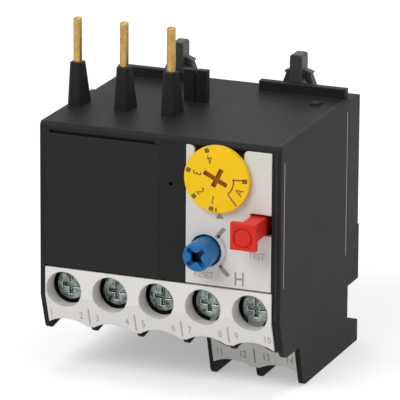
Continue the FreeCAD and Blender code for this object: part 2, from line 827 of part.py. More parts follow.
def front_insert():
    plate = block("insert_plate", ("insert_left", "insert_right"), (deep("0"), deep("plate_thick")),
                  ("insert_bottom", "insert_top"))
    return plate


def control_panel():
    plate = block("panel_plate", ("panel_left", "panel_right"), (deep("0"), deep("plate_thick")),
                  ("panel_bottom", "panel_top"))
    through = (deep("-1"), deep("plate_thick + 1"))
    notched = cut("panel_open", plate,
               block("dial_notch", ("tab_left", "tab_right"), through, ("dial_z - dial_shaft - 1",
                     "panel_top + 1")),
               rod("reset_hole_cut", "y", ("reset_x", "reset_z"), through, "reset_hole"),
               block("test_cut", ("port_left", "panel_right + 1"), through, ("port_bottom", "port_top")))
    return fillet("control_panel", notched, "tab_round", lambda middle, along: abs(along.y) > 0.9
                  and near(middle.z, "panel_top")
                  and (near(middle.x, "tab_left") or near(middle.x, "tab_right")))


def arches(name, centres, bottom, rise, span):
    """Round-topped scallops along the lower edge of a terminal plate."""
    radius = f"(arch_half * arch_half + {rise} * {rise}) / (2 * {rise})"
    return [rod(f"{name}_{i}", "y", (x, f"{bottom} + {rise} - {radius}"), span, radius)
            for i, x in enumerate(centres)]


def terminal_strip():
    corners = [
        (deep("0"), "strip_top"),
        (deep("0"), "chin_height"),
        (deep("chin_setback * (chin_height - strip_bottom) / (chin_height - chin_tip)"), "strip_bottom"),
        (deep("chin_setback * (chin_height - strip_bottom) / (chin_height - chin_tip) + plate_thick"),
         "strip_bottom"),
        (deep("plate_thick"), "chin_height"),
        (deep("plate_thick"), "strip_top"),
    ]
    plate = profile("strip_plate", "yz", corners, ("strip_left", "strip_right"))
    through = (deep("-1"), deep("tier_setback"))
    centres = [upper_x(i) for i in range(UPPER_TERMINALS)]
    tools = [rod(f"strip_hole_{i}", "y", (x, "screw_height"), through, "hole_radius")
             for i, x in enumerate(centres)]
    tools += arches("strip_arch", centres, "strip_bottom", "arch_rise", through)
    return cut("terminal_strip", plate, *tools)


def lower_terminal_plate():
    slant = "lower_setback * (lower_chin - lower_strip_bottom) / lower_chin"
    corners = [
        (deep("tier_setback"), "lower_top"),
        (deep("tier_setback"), "lower_chin"),
        (deep(f"tier_setback + {slant}"), "lower_strip_bottom"),
        (deep(f"tier_setback + {slant} + plate_thick"), "lower_strip_bottom"),
        (deep("tier_setback + plate_thick"), "lower_chin"),
        (deep("tier_setback + plate_thick"), "lower_top"),
    ]
    plate = profile("lower_plate", "yz", corners, ("lower_left + divider", COVER_FACE))
    through = (deep("tier_setback - 1"), deep("tier_setback + 6"))
    centres = [lower_x(i) for i in range(LOWER_TERMINALS)]
    tools = [rod(f"lower_hole_{i}", "y", (x, "lower_screw_height"), through, "lower_hole_radius")
             for i, x in enumerate(centres)]
    tools += arches("lower_arch", centres, "lower_strip_bottom", "lower_arch_rise", through)
    return cut("lower_terminal_plate", plate, *tools)


# ---- terminals -------------------------------------------------------------------------

def terminal_screw(name, x, z, start):
    """A cross-head clamping screw; start is the terminal plate's face."""
    head = f"{start} + head_depth"
    under = f"{head} + head_thick"
    bolt = join(name + "_bolt",
                rod(name + "_head", "y", (x, z), (deep(head), deep(under)), "head_radius"),
                rod(name + "_shank", "y", (x, z), (deep(under), deep(f"{under} + shank_length")),
                    "shank_radius"))
    cross = (deep(f"{head} - 1"), deep(f"{head} + recess_depth"))
    slot = block(name + "_slot", about(x, "recess_length / 2"), cross, about(z, "recess_width / 2"))
    post = block(name + "_post", about(x, "recess_width / 2"), cross, about(z, "recess_length / 2"))
    return cut(name, bolt, slot, post)


def clamp_plate(name, x, z, start):
    front = f"{start} + head_depth + head_thick + clamp_gap"
    depth = (deep(front), deep(f"{front} + clamp_thick"))
    plate = block(name + "_plate", about(x, "clamp_width / 2"), depth, about(z, "clamp_height / 2"))
    hole = rod(name + "_hole", "y", (x, z), (deep(f"{front} - 1"), deep(f"{front} + clamp_thick + 1")),
               "shank_radius + thread_gap")
    return cut(name, plate, hole)


def bar_plate(name, x, z, start):
    """The threaded end of a terminal bar, behind its clamp plate."""
    depth = (deep(f"{start} + bar_depth"), deep(f"{start} + bar_depth + bar_thick"))
    plate = block(name + "_plate", about(x, "bar_width / 2"), depth, (f"{z} - bar_low", f"{z} + bar_high"))
    hole = rod(name + "_thread", "y", (x, z), (deep(f"{start} + bar_depth - 1"),
               deep(f"{start} + bar_depth + bar_thick + 1")), "shank_radius + thread_gap")
    return cut(name + "_end", plate, hole)


def pole_bar(i):
    """Load-side bar of one pole, from its terminal to the lead of its heater."""
    name = f"load_bar_{i + 1}"
    x = upper_x(i)
    top = "screw_height + bar_high"
    tongue = block(name + "_tongue", about(x, "tongue_width / 2"),
                   (deep("bar_depth + bar_thick"), deep("strip_front - tongue_end")),
                   (f"{top} - tongue_thick", top))
    return join(name, bar_plate(name, x, "screw_height", "0"), tongue)


def signal_bar(name, x, z, start, tongue_z, contact_y, contact_x, height):
    """Bar of an auxiliary contact: threaded end, tongue to the back, riser and contact face."""
    tongue = block(name + "_tongue", about(x, "tongue_width / 2"),
                   (deep(f"{start} + bar_depth + bar_thick"), deep(f"{contact_y} + tongue_width / 2")),
                   (tongue_z, f"{tongue_z} + tongue_thick"))
    riser = block(name + "_riser", about(contact_x, "bridge_half"),
                  (deep(f"{contact_y} - tongue_thick / 2"), deep(f"{contact_y} + tongue_thick / 2")),
                  (tongue_z, height))
    return join(name, bar_plate(name, x, z, start), tongue, riser)


def terminals():
    for i in range(UPPER_TERMINALS):
        keep(f"terminal_screw_{i + 1}", terminal_screw(f"screw_{i}", upper_x(i), "screw_height", "0"))
        keep(f"clamp_plate_{i + 1}", clamp_plate(f"clamp_{i}", upper_x(i), "screw_height", "0"))
    for i in range(LOWER_TERMINALS):
        number = UPPER_TERMINALS + i + 1
        keep(f"terminal_screw_{number}",
             terminal_screw(f"lower_screw_{i}", lower_x(i), "lower_screw_height", "tier_setback"))
        keep(f"clamp_plate_{number}",
             clamp_plate(f"lower_clamp_{i}", lower_x(i), "lower_screw_height", "tier_setback"))


# ---- plug-in deck ----------------------------------------------------------------------

def plug_pin(i):
    """A plug pin with the strap under the deck that feeds its bimetal strip."""
    name = f"plug_pin_{i + 1}"
    under = "deck_height - deck_thick"
    strap_z = (f"{under} - strap_thick", under)
    shaft = rod(name + "_shaft", "z", (pin_x(i), deep("pin_depth")),
                ("deck_height + sleeve_height", "deck_height + sleeve_height + pin_length"), "pin_radius")
    neck = rod(name + "_neck", "z", (pin_x(i), deep("pin_depth")),
               (f"{under} - strap_thick", "deck_height + sleeve_height + pin_radius"), "pin_neck")
    pointed = chamfer(name + "_pointed", shaft, "pin_point", lambda middle, along: middle.z
                      > worth("deck_height + sleeve_height + pin_length - 0.05"))
    across = block(name + "_across", (f"{pin_x(i)} - strap_start", f"{bimetal_x(i)} + strap_width / 2"),
                   (deep("pin_depth - strap_width / 2"), deep("pin_depth + strap_width / 2")), strap_z)
    back = block(name + "_back", about(bimetal_x(i), "strap_width / 2"),
                 (deep("pin_depth"), deep("strip_front + strip_wide")), strap_z)
    return join(name, pointed, neck, across, back)


def hook(name, x):
    """A snap hook: a stiff blade between two springy arms with barbs."""
    deck = "deck_height - rear_deck_drop"
    top = f"{deck} + hook_height"
    blade = profile(name + "_blade", "yz", [
        (deep("blade_front - blade_lean"), deck),
        (deep("blade_back"), deck),
        (deep("blade_back"), top),
        (deep("blade_front"), top),
    ], about(x, "blade_half"))
    soft = fillet(name + "_soft_blade", blade, "hook_round", lambda middle, along: abs(along.y) > 0.9
                  and near(middle.z, top))
    arms = profile(name + "_arms", "xz", [
        (f"{x} - arm_half", deck),
        (f"{x} - barb_half + barb_edge", f"{deck} + barb_height - barb_under"),
        (f"{x} - barb_half", f"{deck} + barb_height"),
        (f"{x} - blade_half", f"{deck} + barb_height + 0.5"),
        (f"{x} + blade_half", f"{deck} + barb_height + 0.5"),
        (f"{x} + barb_half", f"{deck} + barb_height"),
        (f"{x} + barb_half - barb_edge", f"{deck} + barb_height - barb_under"),
        (f"{x} + arm_half", deck),
    ], (deep("arm_front"), deep("arm_back")))
    gap = (deep("arm_front - 1"), deep("arm_back + 1"))
    left = profile(name + "_left_gap", "xz", [
        (f"{x} - arm_half + arm_thick", f"{deck} - 0.1"),
        (f"{x} - blade_half", f"{deck} - 0.1"),
        (f"{x} - blade_half", f"{deck} + barb_height * 0.7"),
    ], gap)
    right = profile(name + "_right_gap", "xz", [
        (f"{x} + blade_half", f"{deck} - 0.1"),
        (f"{x} + arm_half - arm_thick", f"{deck} - 0.1"),
        (f"{x} + blade_half", f"{deck} + barb_height * 0.7"),
    ], gap)
    return join(name, soft, cut(name + "_open_arms", arms, left, right))


# ---- setting dial, slide and trip lever ------------------------------------------------

def origin_plane(body, role):
    return next(item for item in body.Origin.OriginFeatures if item.Role == role)


def face_sketch(body, name, lift):
    """A sketch on the body's XZ plane, moved a distance to the front of it."""
    sketch = body.newObject("Sketcher::SketchObject", name)
    sketch.AttachmentSupport = [(origin_plane(body, "XZ_Plane"), "")]
    sketch.MapMode = "FlatFace"
    sketch.setExpression(".AttachmentOffset.Base.z", bind(lift))
    return sketch


def add_circle(sketch, radius):
    index = sketch.addGeometry(Part.Circle(FreeCAD.Vector(), FreeCAD.Vector(0, 0, 1), worth(radius)))
    sketch.addConstraint(Sketcher.Constraint("Coincident", index, 3, -1, 1))
    rule = sketch.addConstraint(Sketcher.Constraint("Radius", index, worth(radius)))
    sketch.renameConstraint(rule, "radius")
    sketch.setExpression("Constraints.radius", bind(radius))


def add_polygon(sketch, corners):
    points = [FreeCAD.Vector(worth(a), worth(b), 0) for a, b in corners]
    count = len(points)
    sketch.addGeometry([Part.LineSegment(points[i], points[(i + 1) % count]) for i in range(count)])
    for i in range(count):
        sketch.addConstraint(Sketcher.Constraint("Coincident", i, 2, (i + 1) % count, 1))
    for i, corner in enumerate(corners):
        for kind, text, number in zip(("DistanceX", "DistanceY"), corner, points[i]):
            index = sketch.addConstraint(Sketcher.Constraint(kind, -1, 1, i, 1, number))
            sketch.renameConstraint(index, f"{kind}{i}")
            sketch.setExpression(f"Constraints.{kind}{i}", bind(text))


def pad(body, sketch, length):
    item = body.newObject("PartDesign::Pad", sketch.Name + "_pad")
    item.Profile = sketch
    item.setExpression("Length", bind(length))
    return item


def pocket(body, sketch, depth):
    doc.recompute()
    before = body.Shape.Volume
    item = body.newObject("PartDesign::Pocket", sketch.Name + "_pocket")
    item.Profile = sketch
    item.setExpression("Length", bind(depth))
    doc.recompute()
    if body.Shape.Volume > before - 1e-6:
        raise SystemExit(f"{sketch.Name} cuts nothing")
    return item


def cross_corners():
    """Outline of the screwdriver cross, arm by arm, with the corner between each two arms."""
    half = "slot_width / 2"
    corners = []
    for k in range(1, 5):
        turn = f"(slot_angle - {90 * (k - 1)})"
        for along, across in ((half, half), (f"slot_arm_{k}", half), (f"slot_arm_{k}", f"-{half}")):
            corners.append((f"{along} * cos({turn}) - {across} * sin({turn})",
                            f"{along} * sin({turn}) + {across} * cos({turn})"))
    return corners


def setting_dial():
    body = doc.addObject("PartDesign::Body", "dial_body")
    outline = face_sketch(body, "dial_outline", "dial_gap")
    add_circle(outline, "dial_radius")
    pad(body, outline, "dial_thick")
    slot = face_sketch(body, "dial_slot", "dial_gap + dial_thick")
    add_polygon(slot, cross_corners())
    pocket(body, slot, "slot_deep")
    doc.recompute()
    place(body, "dial_x", deep("0"), "dial_z")
    return body


def setting_cam():
    """Shaft of the dial with the eccentric that moves the setting slide."""
    angle = 188
    middle = (f"dial_x + eccentric_offset * cos({angle})", f"dial_z + eccentric_offset * sin({angle})")
    shaft = rod("cam_shaft", "y", ("dial_x", "dial_z"), (deep("-dial_gap"), deep("cam_depth + cam_thick")),
                "dial_shaft")
    disc = rod("cam_disc", "y", middle, (deep("cam_depth"), deep("cam_depth + cam_thick")),
               "eccentric_radius")
    return join("setting_cam", shaft, disc)


def setting_slide():
    """Plate moved sideways by the eccentric, with the pin that the trip lever hangs on."""
    depth = (deep("cam_depth"), deep("cam_depth + slide_thick"))
    start = "dial_x - eccentric_offset * cos(8)"
    half = "eccentric_radius + yoke_gap"
    tall = "eccentric_radius + eccentric_offset + loose_gap"
    plate = block("slide_plate", ("slide_left", "slide_right"), depth, ("slide_low", "slide_high"))
    slot = block("slide_slot", about(start, half), (deep("cam_depth - 1"), deep("cam_depth + 3")),
                 about("dial_z", tall))
    pin = rod("slide_pin", "y", ("lever_x", "lever_z"),
              (deep("cam_depth + slide_thick / 2"), deep("bar_front + bar_deep + pin_past")), "lever_pin")
    return join("setting_slide", cut("slide_yoke", plate, slot), pin)


def trip_lever():
    depth = (deep("bar_front"), deep("bar_front + bar_deep"))
    hub = rod("lever_ring", "y", ("lever_x", "lever_z"), depth, "lever_hub")
    arm = block("lever_arm", about("lever_x", "lever_half"), depth, ("lever_end", "lever_z"))
    bore = rod("lever_bore", "y", ("lever_x", "lever_z"), (deep("bar_front - 1"), deep("bar_front + 3")),
               "lever_pin + thread_gap")
    return cut("trip_lever", join("lever_body", hub, arm), bore)


# ---- bimetal strips and the bars they push ---------------------------------------------

def bimetal_grip(i):
    """Metal block that holds the top of a strip, under the plug pin's strap."""
    name = f"bimetal_grip_{i + 1}"
    half = "(strip_thick / 2 + grip_thick)"
    body = block(name + "_body", about(bimetal_x(i), half),
                 (deep("strip_front - grip_past"), deep("strip_front + strip_wide + grip_past")),
                 ("grip_low", "strap_low"))
    slot = block(name + "_slot", about(bimetal_x(i), "strip_thick / 2 + grip_gap"),
                 (deep("strip_front - 1"), deep("strip_front + strip_wide + 1")), ("grip_low - 1", "grip_top"))
    return cut(name, body, slot)


def bimetal_strip(i):
    return block(f"bimetal_strip_{i + 1}", about(bimetal_x(i), "strip_thick / 2"),
                 (deep("strip_front"), deep("strip_front + strip_wide")),
                 ("strip_end", "grip_top - grip_gap"))


def heater_coil(i):
    """Flat heating tape wound round a strip, its turns joined by a rib."""
    name = f"heater_coil_{i + 1}"
    near_x = "strip_thick / 2 + heater_gap"
    y = ("strip_front - heater_gap", "strip_front + strip_wide + heater_gap")
    turns = []
    for k in range(HEATER_TURNS):
        low = f"heater_low + {k} * heater_step"
        turns.append(block(f"{name}_turn_{k}", about(bimetal_x(i), f"{near_x} + heater_wire"),
                           (deep(f"{y[0]} - heater_wire"), deep(f"{y[1]} + heater_wire")),
                           (low, f"{low} + heater_step * tape_share")))
    rib = block(f"{name}_rib", about(bimetal_x(i), "heater_wire"),
                (deep(f"{y[0]} - heater_wire"), deep(y[0])),
                ("heater_low", f"heater_low + heater_step * {HEATER_TURNS - 0.5}"))
    room = block(f"{name}_room", about(bimetal_x(i), near_x), (deep(y[0]), deep(y[1])),
                 ("heater_low - 1", f"heater_low + heater_step * {HEATER_TURNS}"))
    return cut(name, join(name + "_turns", *turns, rib), room)


def push_bar(name, front, right, side):
    """A bar across the poles; its fingers reach in beside each strip."""
    depth = (deep(front), deep(f"{front} + bar_deep"))
    height = ("bar_bottom", "bar_top")
    pieces = [block(name + "_beam", ("bar_left", right), depth, height)]
    for i in range(POLES):
        edge = f"{bimetal_x(i)} + {side} * (strip_thick / 2 + bimetal_gap + finger_thick / 2)"
        reach = (deep(f"{front} + bar_deep / 2"), deep(f"{front} + bar_deep + finger_reach"))
        if side < 0:
            reach = (deep(f"{front} - finger_reach"), deep(f"{front} + bar_deep / 2"))
        pieces.append(block(f"{name}_finger_{i}", about(edge, "finger_thick / 2"), reach, height))
    return join(name, *pieces)


def bar_tray():
    """Floor with two pairs of guides that the trip bar and the differential bar slide in."""
    floor = block("tray_floor", (f"{LEFT} + wall", "tray_right"),
                  (deep("pocket_depth + wall"), deep("tray_depth")), ("tray_low", "tray_low + tray_thick"))
    pieces = [floor]
    walls = [
        "bar_front - loose_gap - guide_wall", "bar_front + bar_deep + loose_gap",
        "bar_rear - loose_gap - guide_wall", "bar_rear + bar_deep + loose_gap",
    ]
    for i in range(1, POLES):
        middle = f"{bimetal_x(i)} - strip_pitch / 2 + guide_shift"
        x = about(middle, "guide_width / 2")
        pieces.append(block(f"tray_pad_{i}", x, (deep(walls[0]), deep("tray_depth")),
                            ("tray_low + tray_thick / 2", "bar_bottom - loose_gap")))
        for k, y in enumerate(walls):
            pieces.append(block(f"tray_guide_{i}_{k}", x, (deep(y), deep(f"{y} + guide_wall")),
                                ("tray_low + tray_thick / 2", "bar_top")))
    return join("bar_tray", *pieces)


# ---- auxiliary contacts ----------------------------------------------------------------

def contact_rocker():
    depth = (deep("plate_depth + inner_plate + hub_gap"), deep("bracket_depth - hub_gap"))
    centre = ("rocker_x", "rocker_z")
    hub = rod("rocker_tube", "y", centre, depth, "rocker_hub")
    finger = profile("rocker_finger", "xz", [
        ("nose_x", "nose_low"),
        ("nose_x + nose_width", "nose_low"),
        ("rocker_x + 0.8", "rocker_z - 1.4"),
        ("rocker_x - 0.6", "rocker_z"),
        ("nose_x", "nose_high"),
    ], (deep("bar_front"), deep("bar_front + bar_deep")))
    cross = block("rocker_cross", about("rocker_x", "bridge_offset + bridge_half"),
                  (deep("cross_depth - cross_half"), deep("cross_depth + cross_half")),
                  ("bridge_low + bridge_thick", "rocker_z"))
    bore = rod("rocker_bore", "y", centre, (deep("plate_depth"), deep("bracket_depth + 1")),
               "rocker_pin + thread_gap")
    return cut("contact_rocker", join("rocker_body", hub, finger, cross), bore)


def contact_bridge(name, x):
    """Spring-metal bar with a silver tip under each end."""
    pieces = [block(name + "_bar", about(x, "bridge_half"), (deep("bridge_front"), deep("bridge_back")),
                    ("bridge_low", "bridge_low + bridge_thick"))]
    for k, y in enumerate(("bridge_front + tip_inset", "bridge_back - tip_inset")):
        pieces.append(block(f"{name}_tip_{k}", about(x, "tip_half"), (deep(f"{y} - 0.7"), deep(f"{y} + 0.7")),
                            ("bridge_low - tip_high", "bridge_low + 0.1")))
    return join(name, *pieces)


def signal_bars():
    """The four bars of the auxiliary contacts, each from a terminal to a contact face."""
    touch = {"open": "bridge_low - tip_high - contact_gap", "closed": "bridge_low - tip_high - contact_touch"}
    upper_tongue = "screw_height + bar_high - tongue_thick"
    lower_tongue = "lower_screw_height - bar_low"
    for i, (kind, side) in enumerate((("open", "-"), ("closed", "+"))):
        x = f"rocker_x {side} bridge_offset"
        keep(f"{kind}_contact_bar_front",
             signal_bar(f"{kind}_front", upper_x(i + 3), "screw_height", "0", upper_tongue,
                        "bridge_front + tip_inset", x, touch[kind]))
        keep(f"{kind}_contact_bar_rear",
             signal_bar(f"{kind}_rear", lower_x(i), "lower_screw_height", "tier_setback", lower_tongue,
                        "bridge_back - tip_inset", x, touch[kind]))
        keep(f"{kind}_contact_bridge", contact_bridge(f"{kind}_bridge", x))


def mechanism_plate():
    """Upright plate behind the buttons: seat of both springs and front bearing of the rocker."""
    depth = (deep("plate_depth"), deep("plate_depth + inner_plate"))
    through = (deep("plate_depth - 1"), deep("plate_depth + inner_plate + 1"))
    plate = block("plate_body", ("plate_left", COVER_FACE), depth, ("lower_top + ceiling_thick", "plate_top"))
    pin = rod("rocker_axle", "y", ("rocker_x", "rocker_z"), (deep("plate_depth + 0.2"), deep("bracket_depth")),
              "rocker_pin")
    hole = rod("reset_bearing", "y", ("reset_x", "reset_z"), through, "tail_radius + thread_gap")
    slots = [block(f"plate_slot_{i}", about(upper_x(i), "tongue_width / 2"), through,
                   ("screw_height + bar_high - tongue_thick", "screw_height + bar_high"))
             for i in (3, 4)]
    return join("mechanism_plate", cut("plate_open", plate, hole, *slots), pin)


def rear_bracket():
    return block("rear_bracket", ("bracket_left", "case_width / 2 - wall"),
                 (deep("bracket_depth"), deep("notch_depth - wall")), ("bracket_low", "bracket_high"))


# ---- reset and test buttons ------------------------------------------------------------

def reset_button():
    centre = ("reset_x", "reset_z")
    body = rod("reset_round", "y", centre, (deep("-reset_reach"), deep("reset_skirt")), "reset_radius")
    face = deep("-reset_reach")
    soft = chamfer("reset_soft", body, "reset_edge", lambda middle, along: near(middle.y, face))
    floor = (deep("-reset_reach - 1"), deep("socket_deep - reset_reach"))
    shallow = (deep("-reset_reach - 1"), deep("cross_deep - reset_reach"))
    tools = [block("reset_socket", about("reset_x", "socket_side / 2"), floor,
                   about("reset_z", "socket_side / 2"))]
    for k, angle in enumerate((45, 135)):
        tools.append(turned_bar(f"reset_arm_{k}", angle, shallow))
    tools.append(rod("reset_bore", "y", centre, (deep("-reset_web"), deep("reset_skirt + 1")),
                     "reset_shaft + thread_gap"))
    return cut("reset_button", soft, *tools)


def turned_bar(name, angle, span):
    """One arm of the screwdriver cross, turned about the button's axis."""
    turn = f"cos({angle})", f"sin({angle})"
    corners = []
    for along, across in ((-1, -1), (1, -1), (1, 1), (-1, 1)):
        length = f"({along} * cross_length / 2)"
        width = f"({across} * cross_width / 2)"
        corners.append((f"reset_x + {length} * {turn[0]} - {width} * {turn[1]}",
                        f"reset_z + {length} * {turn[1]} + {width} * {turn[0]}"))
    return profile(name, "xz", corners, span)


def reset_slider():
    centre = ("reset_x", "reset_z")
    shaft = rod("reset_shaft_rod", "y", centre, (deep("0"), deep("flange_depth + 0.1")), "reset_shaft")
    tail = rod("reset_tail_rod", "y", centre, (deep("flange_depth"), deep("reset_tail")), "tail_radius")
    flange = rod("reset_collar", "y", centre, (deep("flange_depth"), deep("flange_depth + flange_thick")),
                 "reset_flange")
    return join("reset_slider", shaft, flange, tail)


def test_button():
    front = (deep("-button_reach"), deep("button_plate - button_reach"))
    middle = ("(button_left + button_right) / 2", "(button_bottom + button_top) / 2 - ring_drop")
    plate = block("test_plate", ("button_left", "button_right"), front, ("button_bottom", "button_top"))
    ring_span = (deep("-button_reach - 1"), deep("ring_deep - button_reach"))
    ring = cut("test_ring", rod("test_dish", "y", middle, ring_span, "button_ring"),
               rod("test_boss", "y", middle, ring_span, "button_boss"))
    neck = block("test_neck", ("neck_left", "button_right"),
                 (deep("button_plate - button_reach - 0.2"), deep("neck_depth")),
                 ("neck_bottom", "button_top"))
    spigot = rod("test_spigot", "y", test_axis(), (deep("neck_depth - 0.5"), deep("neck_depth + spigot_length")),
                 "spigot_radius")
    return cut("test_button", join("test_body", plate, neck, spigot), ring)


def test_axis():
    return "(neck_left + button_right) / 2", "(neck_bottom + button_top) / 2"


def coil_spring(name, centre, start, end, radius):
    """A compression spring along Y between two depths, its wire bent in short straight runs."""
    wire = worth("coil_wire")
    first = worth(deep(f"{start} + spring_gap")) + wire
    rise = worth(deep(f"{end} - spring_gap")) - wire - first
    reach = worth(radius)
    count = int(worth("coil_turns")) * COIL_STEPS
    points = []
    for k in range(count + 1):
        angle = 2 * math.pi * k / COIL_STEPS
        points.append(FreeCAD.Vector(reach * math.cos(angle), rise * k / count, reach * math.sin(angle)))
    turn = FreeCAD.Rotation(FreeCAD.Vector(0, 0, 1), points[1] - points[0])
    section = []
    for k in range(COIL_SIDES + 1):
        angle = 2 * math.pi * k / COIL_SIDES
        section.append(points[0] + turn.multVec(wire * FreeCAD.Vector(math.cos(angle), math.sin(angle), 0)))
    path = Part.makePolygon(points)
    item = doc.addObject("Part::Feature", name)
    item.Shape = path.makePipeShell([Part.makePolygon(section)], True, False, 1)
    place(item, centre[0], deep(f"{start} + spring_gap + coil_wire"), centre[1])
    return item


# ---- the whole relay -------------------------------------------------------------------

def build():
    keep("front_housing", front_housing())
    keep("rear_housing", rear_housing())
    keep("side_cover", side_cover())
    keep("front_insert", front_insert())
    keep("control_panel", control_panel())
    keep("terminal_strip", terminal_strip())
    keep("lower_terminal_plate", lower_terminal_plate())
    terminals()
    for i in range(POLES):
        keep(f"load_bar_{i + 1}", pole_bar(i))
        keep(f"plug_pin_{i + 1}", plug_pin(i))
        keep(f"bimetal_grip_{i + 1}", bimetal_grip(i))
        keep(f"bimetal_strip_{i + 1}", bimetal_strip(i))
        keep(f"heater_coil_{i + 1}", heater_coil(i))
    keep("mounting_hook_left", hook("left_hook", "-hook_spread"))
    keep("mounting_hook_right", hook("right_hook", "hook_spread"))
    keep("setting_dial", setting_dial())
    keep("setting_cam", setting_cam())
    keep("setting_slide", setting_slide())
    keep("trip_lever", trip_lever())
    keep("trip_bar", push_bar("front_bar", "bar_front", "bar_nose", 1))
    keep("differential_bar", push_bar("rear_bar", "bar_rear", "bar_nose - rear_bar_short", -1))
    keep("bar_tray", bar_tray())
    keep("contact_rocker", contact_rocker())
    signal_bars()
    keep("mechanism_plate", mechanism_plate())
    keep("rear_bracket", rear_bracket())
    keep("reset_button", reset_button())
    keep("reset_slider", reset_slider())
    keep("reset_spring", coil_spring("reset_coil_spring", ("reset_x", "reset_z"),
                                     "flange_depth + flange_thick", "plate_depth", "reset_coil"))
    keep("test_button", test_button())
    keep("test_spring", coil_spring("test_coil_spring", test_axis(), "neck_depth", "plate_depth", "test_coil"))


def check_and_write():
    doc.recompute()
    for item in doc.Objects:
        if "Invalid" in item.State or "Error" in item.State:
            raise SystemExit(f"{item.Name} did not build: {item.State}")
    os.makedirs("parts", exist_ok=True)
    for node, item in PARTS.items():
        shape = item.Shape
        if shape.isNull() or not shape.isValid() or not shape.Solids:
            raise SystemExit(f"{node} has no valid solid")
        shape.exportStep(f"parts/{node}.step")
        print(node, len(shape.Solids), round(shape.Volume, 2))


build()
check_and_write()
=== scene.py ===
import math

import bpy
from mathutils import Matrix, Vector


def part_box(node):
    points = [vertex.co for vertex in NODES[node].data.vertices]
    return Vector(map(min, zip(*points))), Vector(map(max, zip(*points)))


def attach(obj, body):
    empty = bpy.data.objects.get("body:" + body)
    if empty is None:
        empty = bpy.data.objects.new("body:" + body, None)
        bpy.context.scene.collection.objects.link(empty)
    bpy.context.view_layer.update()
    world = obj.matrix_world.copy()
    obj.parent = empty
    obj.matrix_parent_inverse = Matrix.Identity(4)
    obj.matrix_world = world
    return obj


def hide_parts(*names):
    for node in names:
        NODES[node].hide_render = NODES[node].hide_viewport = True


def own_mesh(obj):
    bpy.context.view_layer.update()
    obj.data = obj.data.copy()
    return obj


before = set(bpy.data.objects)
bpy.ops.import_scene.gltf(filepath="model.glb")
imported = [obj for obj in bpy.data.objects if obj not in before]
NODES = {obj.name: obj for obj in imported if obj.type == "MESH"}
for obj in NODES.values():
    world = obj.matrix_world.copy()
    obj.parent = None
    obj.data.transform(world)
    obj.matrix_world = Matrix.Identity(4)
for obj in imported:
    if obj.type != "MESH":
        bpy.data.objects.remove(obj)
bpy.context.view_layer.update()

MM = 0.001

# Places read from the frame, in metres
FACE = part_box("control_panel")[0].y
CASE_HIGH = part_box("side_cover")[1]
DIAL_LOW, DIAL_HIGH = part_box("setting_dial")
RESET_LOW, RESET_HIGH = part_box("reset_button")
STRIP_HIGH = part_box("terminal_strip")[1]
LOWER_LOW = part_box("lower_terminal_plate")[0]
DIAL_CENTRE = (DIAL_LOW + DIAL_HIGH) / 2
RESET_CENTRE = (RESET_LOW + RESET_HIGH) / 2

# Where each tier's face starts to slant back, and by how much
CHIN_HEIGHT = 14.9 * MM
CHIN_SLOPE = 2.3 / 7.1
CHIN_LOW = 9.6 * MM
LOWER_CHIN = 8.2 * MM
LOWER_SLOPE = 2.4 / 8.2

# Case details behind and beside the strip
COVER_INNER = CASE_HIGH.x - 0.9 * MM
EDGE_THICK = 1.2 * MM           # wall between the terminal strip and the side cover
EDGE_SETBACK = 0.3 * MM
COLLAR_RADIUS = 3.75 * MM       # outside of the collars behind the upper screw holes
COLLAR_WALL = 0.45 * MM
COLLAR_START = 0.9 * MM
COLLAR_LENGTH = 2.4 * MM

# Printing; strokes are given as angle in degrees, then radius, length and width in millimetres
INK = 0.03 * MM                 # half the thickness of the print
CAPITAL_SHARE = 0.7             # height of a capital letter in the font's size
DIAL_NUMBERS = (("1", 259.7), ("2", 218.9), ("3", 166.7), ("4", 109.8))
DIAL_NUMBER_RADIUS = 3.7 * MM
DIAL_NUMBER_HEIGHT = 1.55 * MM
DIAL_MARK_RADIUS = 5.35 * MM
DIAL_MARK_SIZE = 0.8 * MM
UNIT_RADIUS, UNIT_ANGLE, UNIT_HEIGHT = 4.5 * MM, -23, 1.5 * MM
BRACKET_RADIUS, BRACKET_WIDTH, BRACKET_START, BRACKET_END = 3.15 * MM, 0.24 * MM, -49, 7
DIAL_STROKES = ((269.5, 5.4, 0.85, 0.3), (2.8, 5.2, 0.9, 0.8), (4.6, 3.9, 1.9, 0.24),
                (BRACKET_START, 4.5, 2.4, 0.24))
POINTER_RADIUS = 0.85 * MM
POINTER_SHIFT = 0.24 * MM
GUIDE_STROKES = ((52.0, 4.4, 2.4, 0.75), (-43.5, 4.75, 2.4, 0.75))
GUIDE_RADIUS, GUIDE_WIDTH, GUIDE_START, GUIDE_END = 3.75 * MM, 0.5 * MM, -43, 52
HAND_LETTER_HEIGHT = 2.5 * MM
HAND_LETTER_PLACE = (6.28 * MM, -4.4 * MM, 0)
WORD_HEIGHT = 1.15 * MM
BUTTON_WORDS = (("reset_word", "RESET", -0.35 * MM, -4.35 * MM), ("test_word", "TEST", 9.45 * MM, 0.15 * MM))
TERMINAL_NUMBER_HEIGHT = 1.45 * MM
RULE_WIDTH = 0.26 * MM
SIDE_RULES = ((1.6, 21.0, 43.5), (33.0, 18.0, 44.5))    # distance behind the face, bottom and top, in mm


# Light, as shares of white
AMBIENT = 0.28
FLOOR_LIFT = 0.4

# Texture sizes, as repeats per metre, and relief heights
CLOUD_SCALE = 90.0
STREAK_SCALE = 700.0
WEAR_SCALE = 1500.0
STAIN_SCALE = 900.0
SCRATCH_SCALE = 3000.0
GRAIN_HEIGHT = 0.04 * MM
SCRATCH_HEIGHT = 0.03 * MM
# Depth over which the painted shade in a recess fades in
RECESS_SHADE_FADE = 0.12 * MM


# ---- camera, light and floor -----------------------------------------------------------

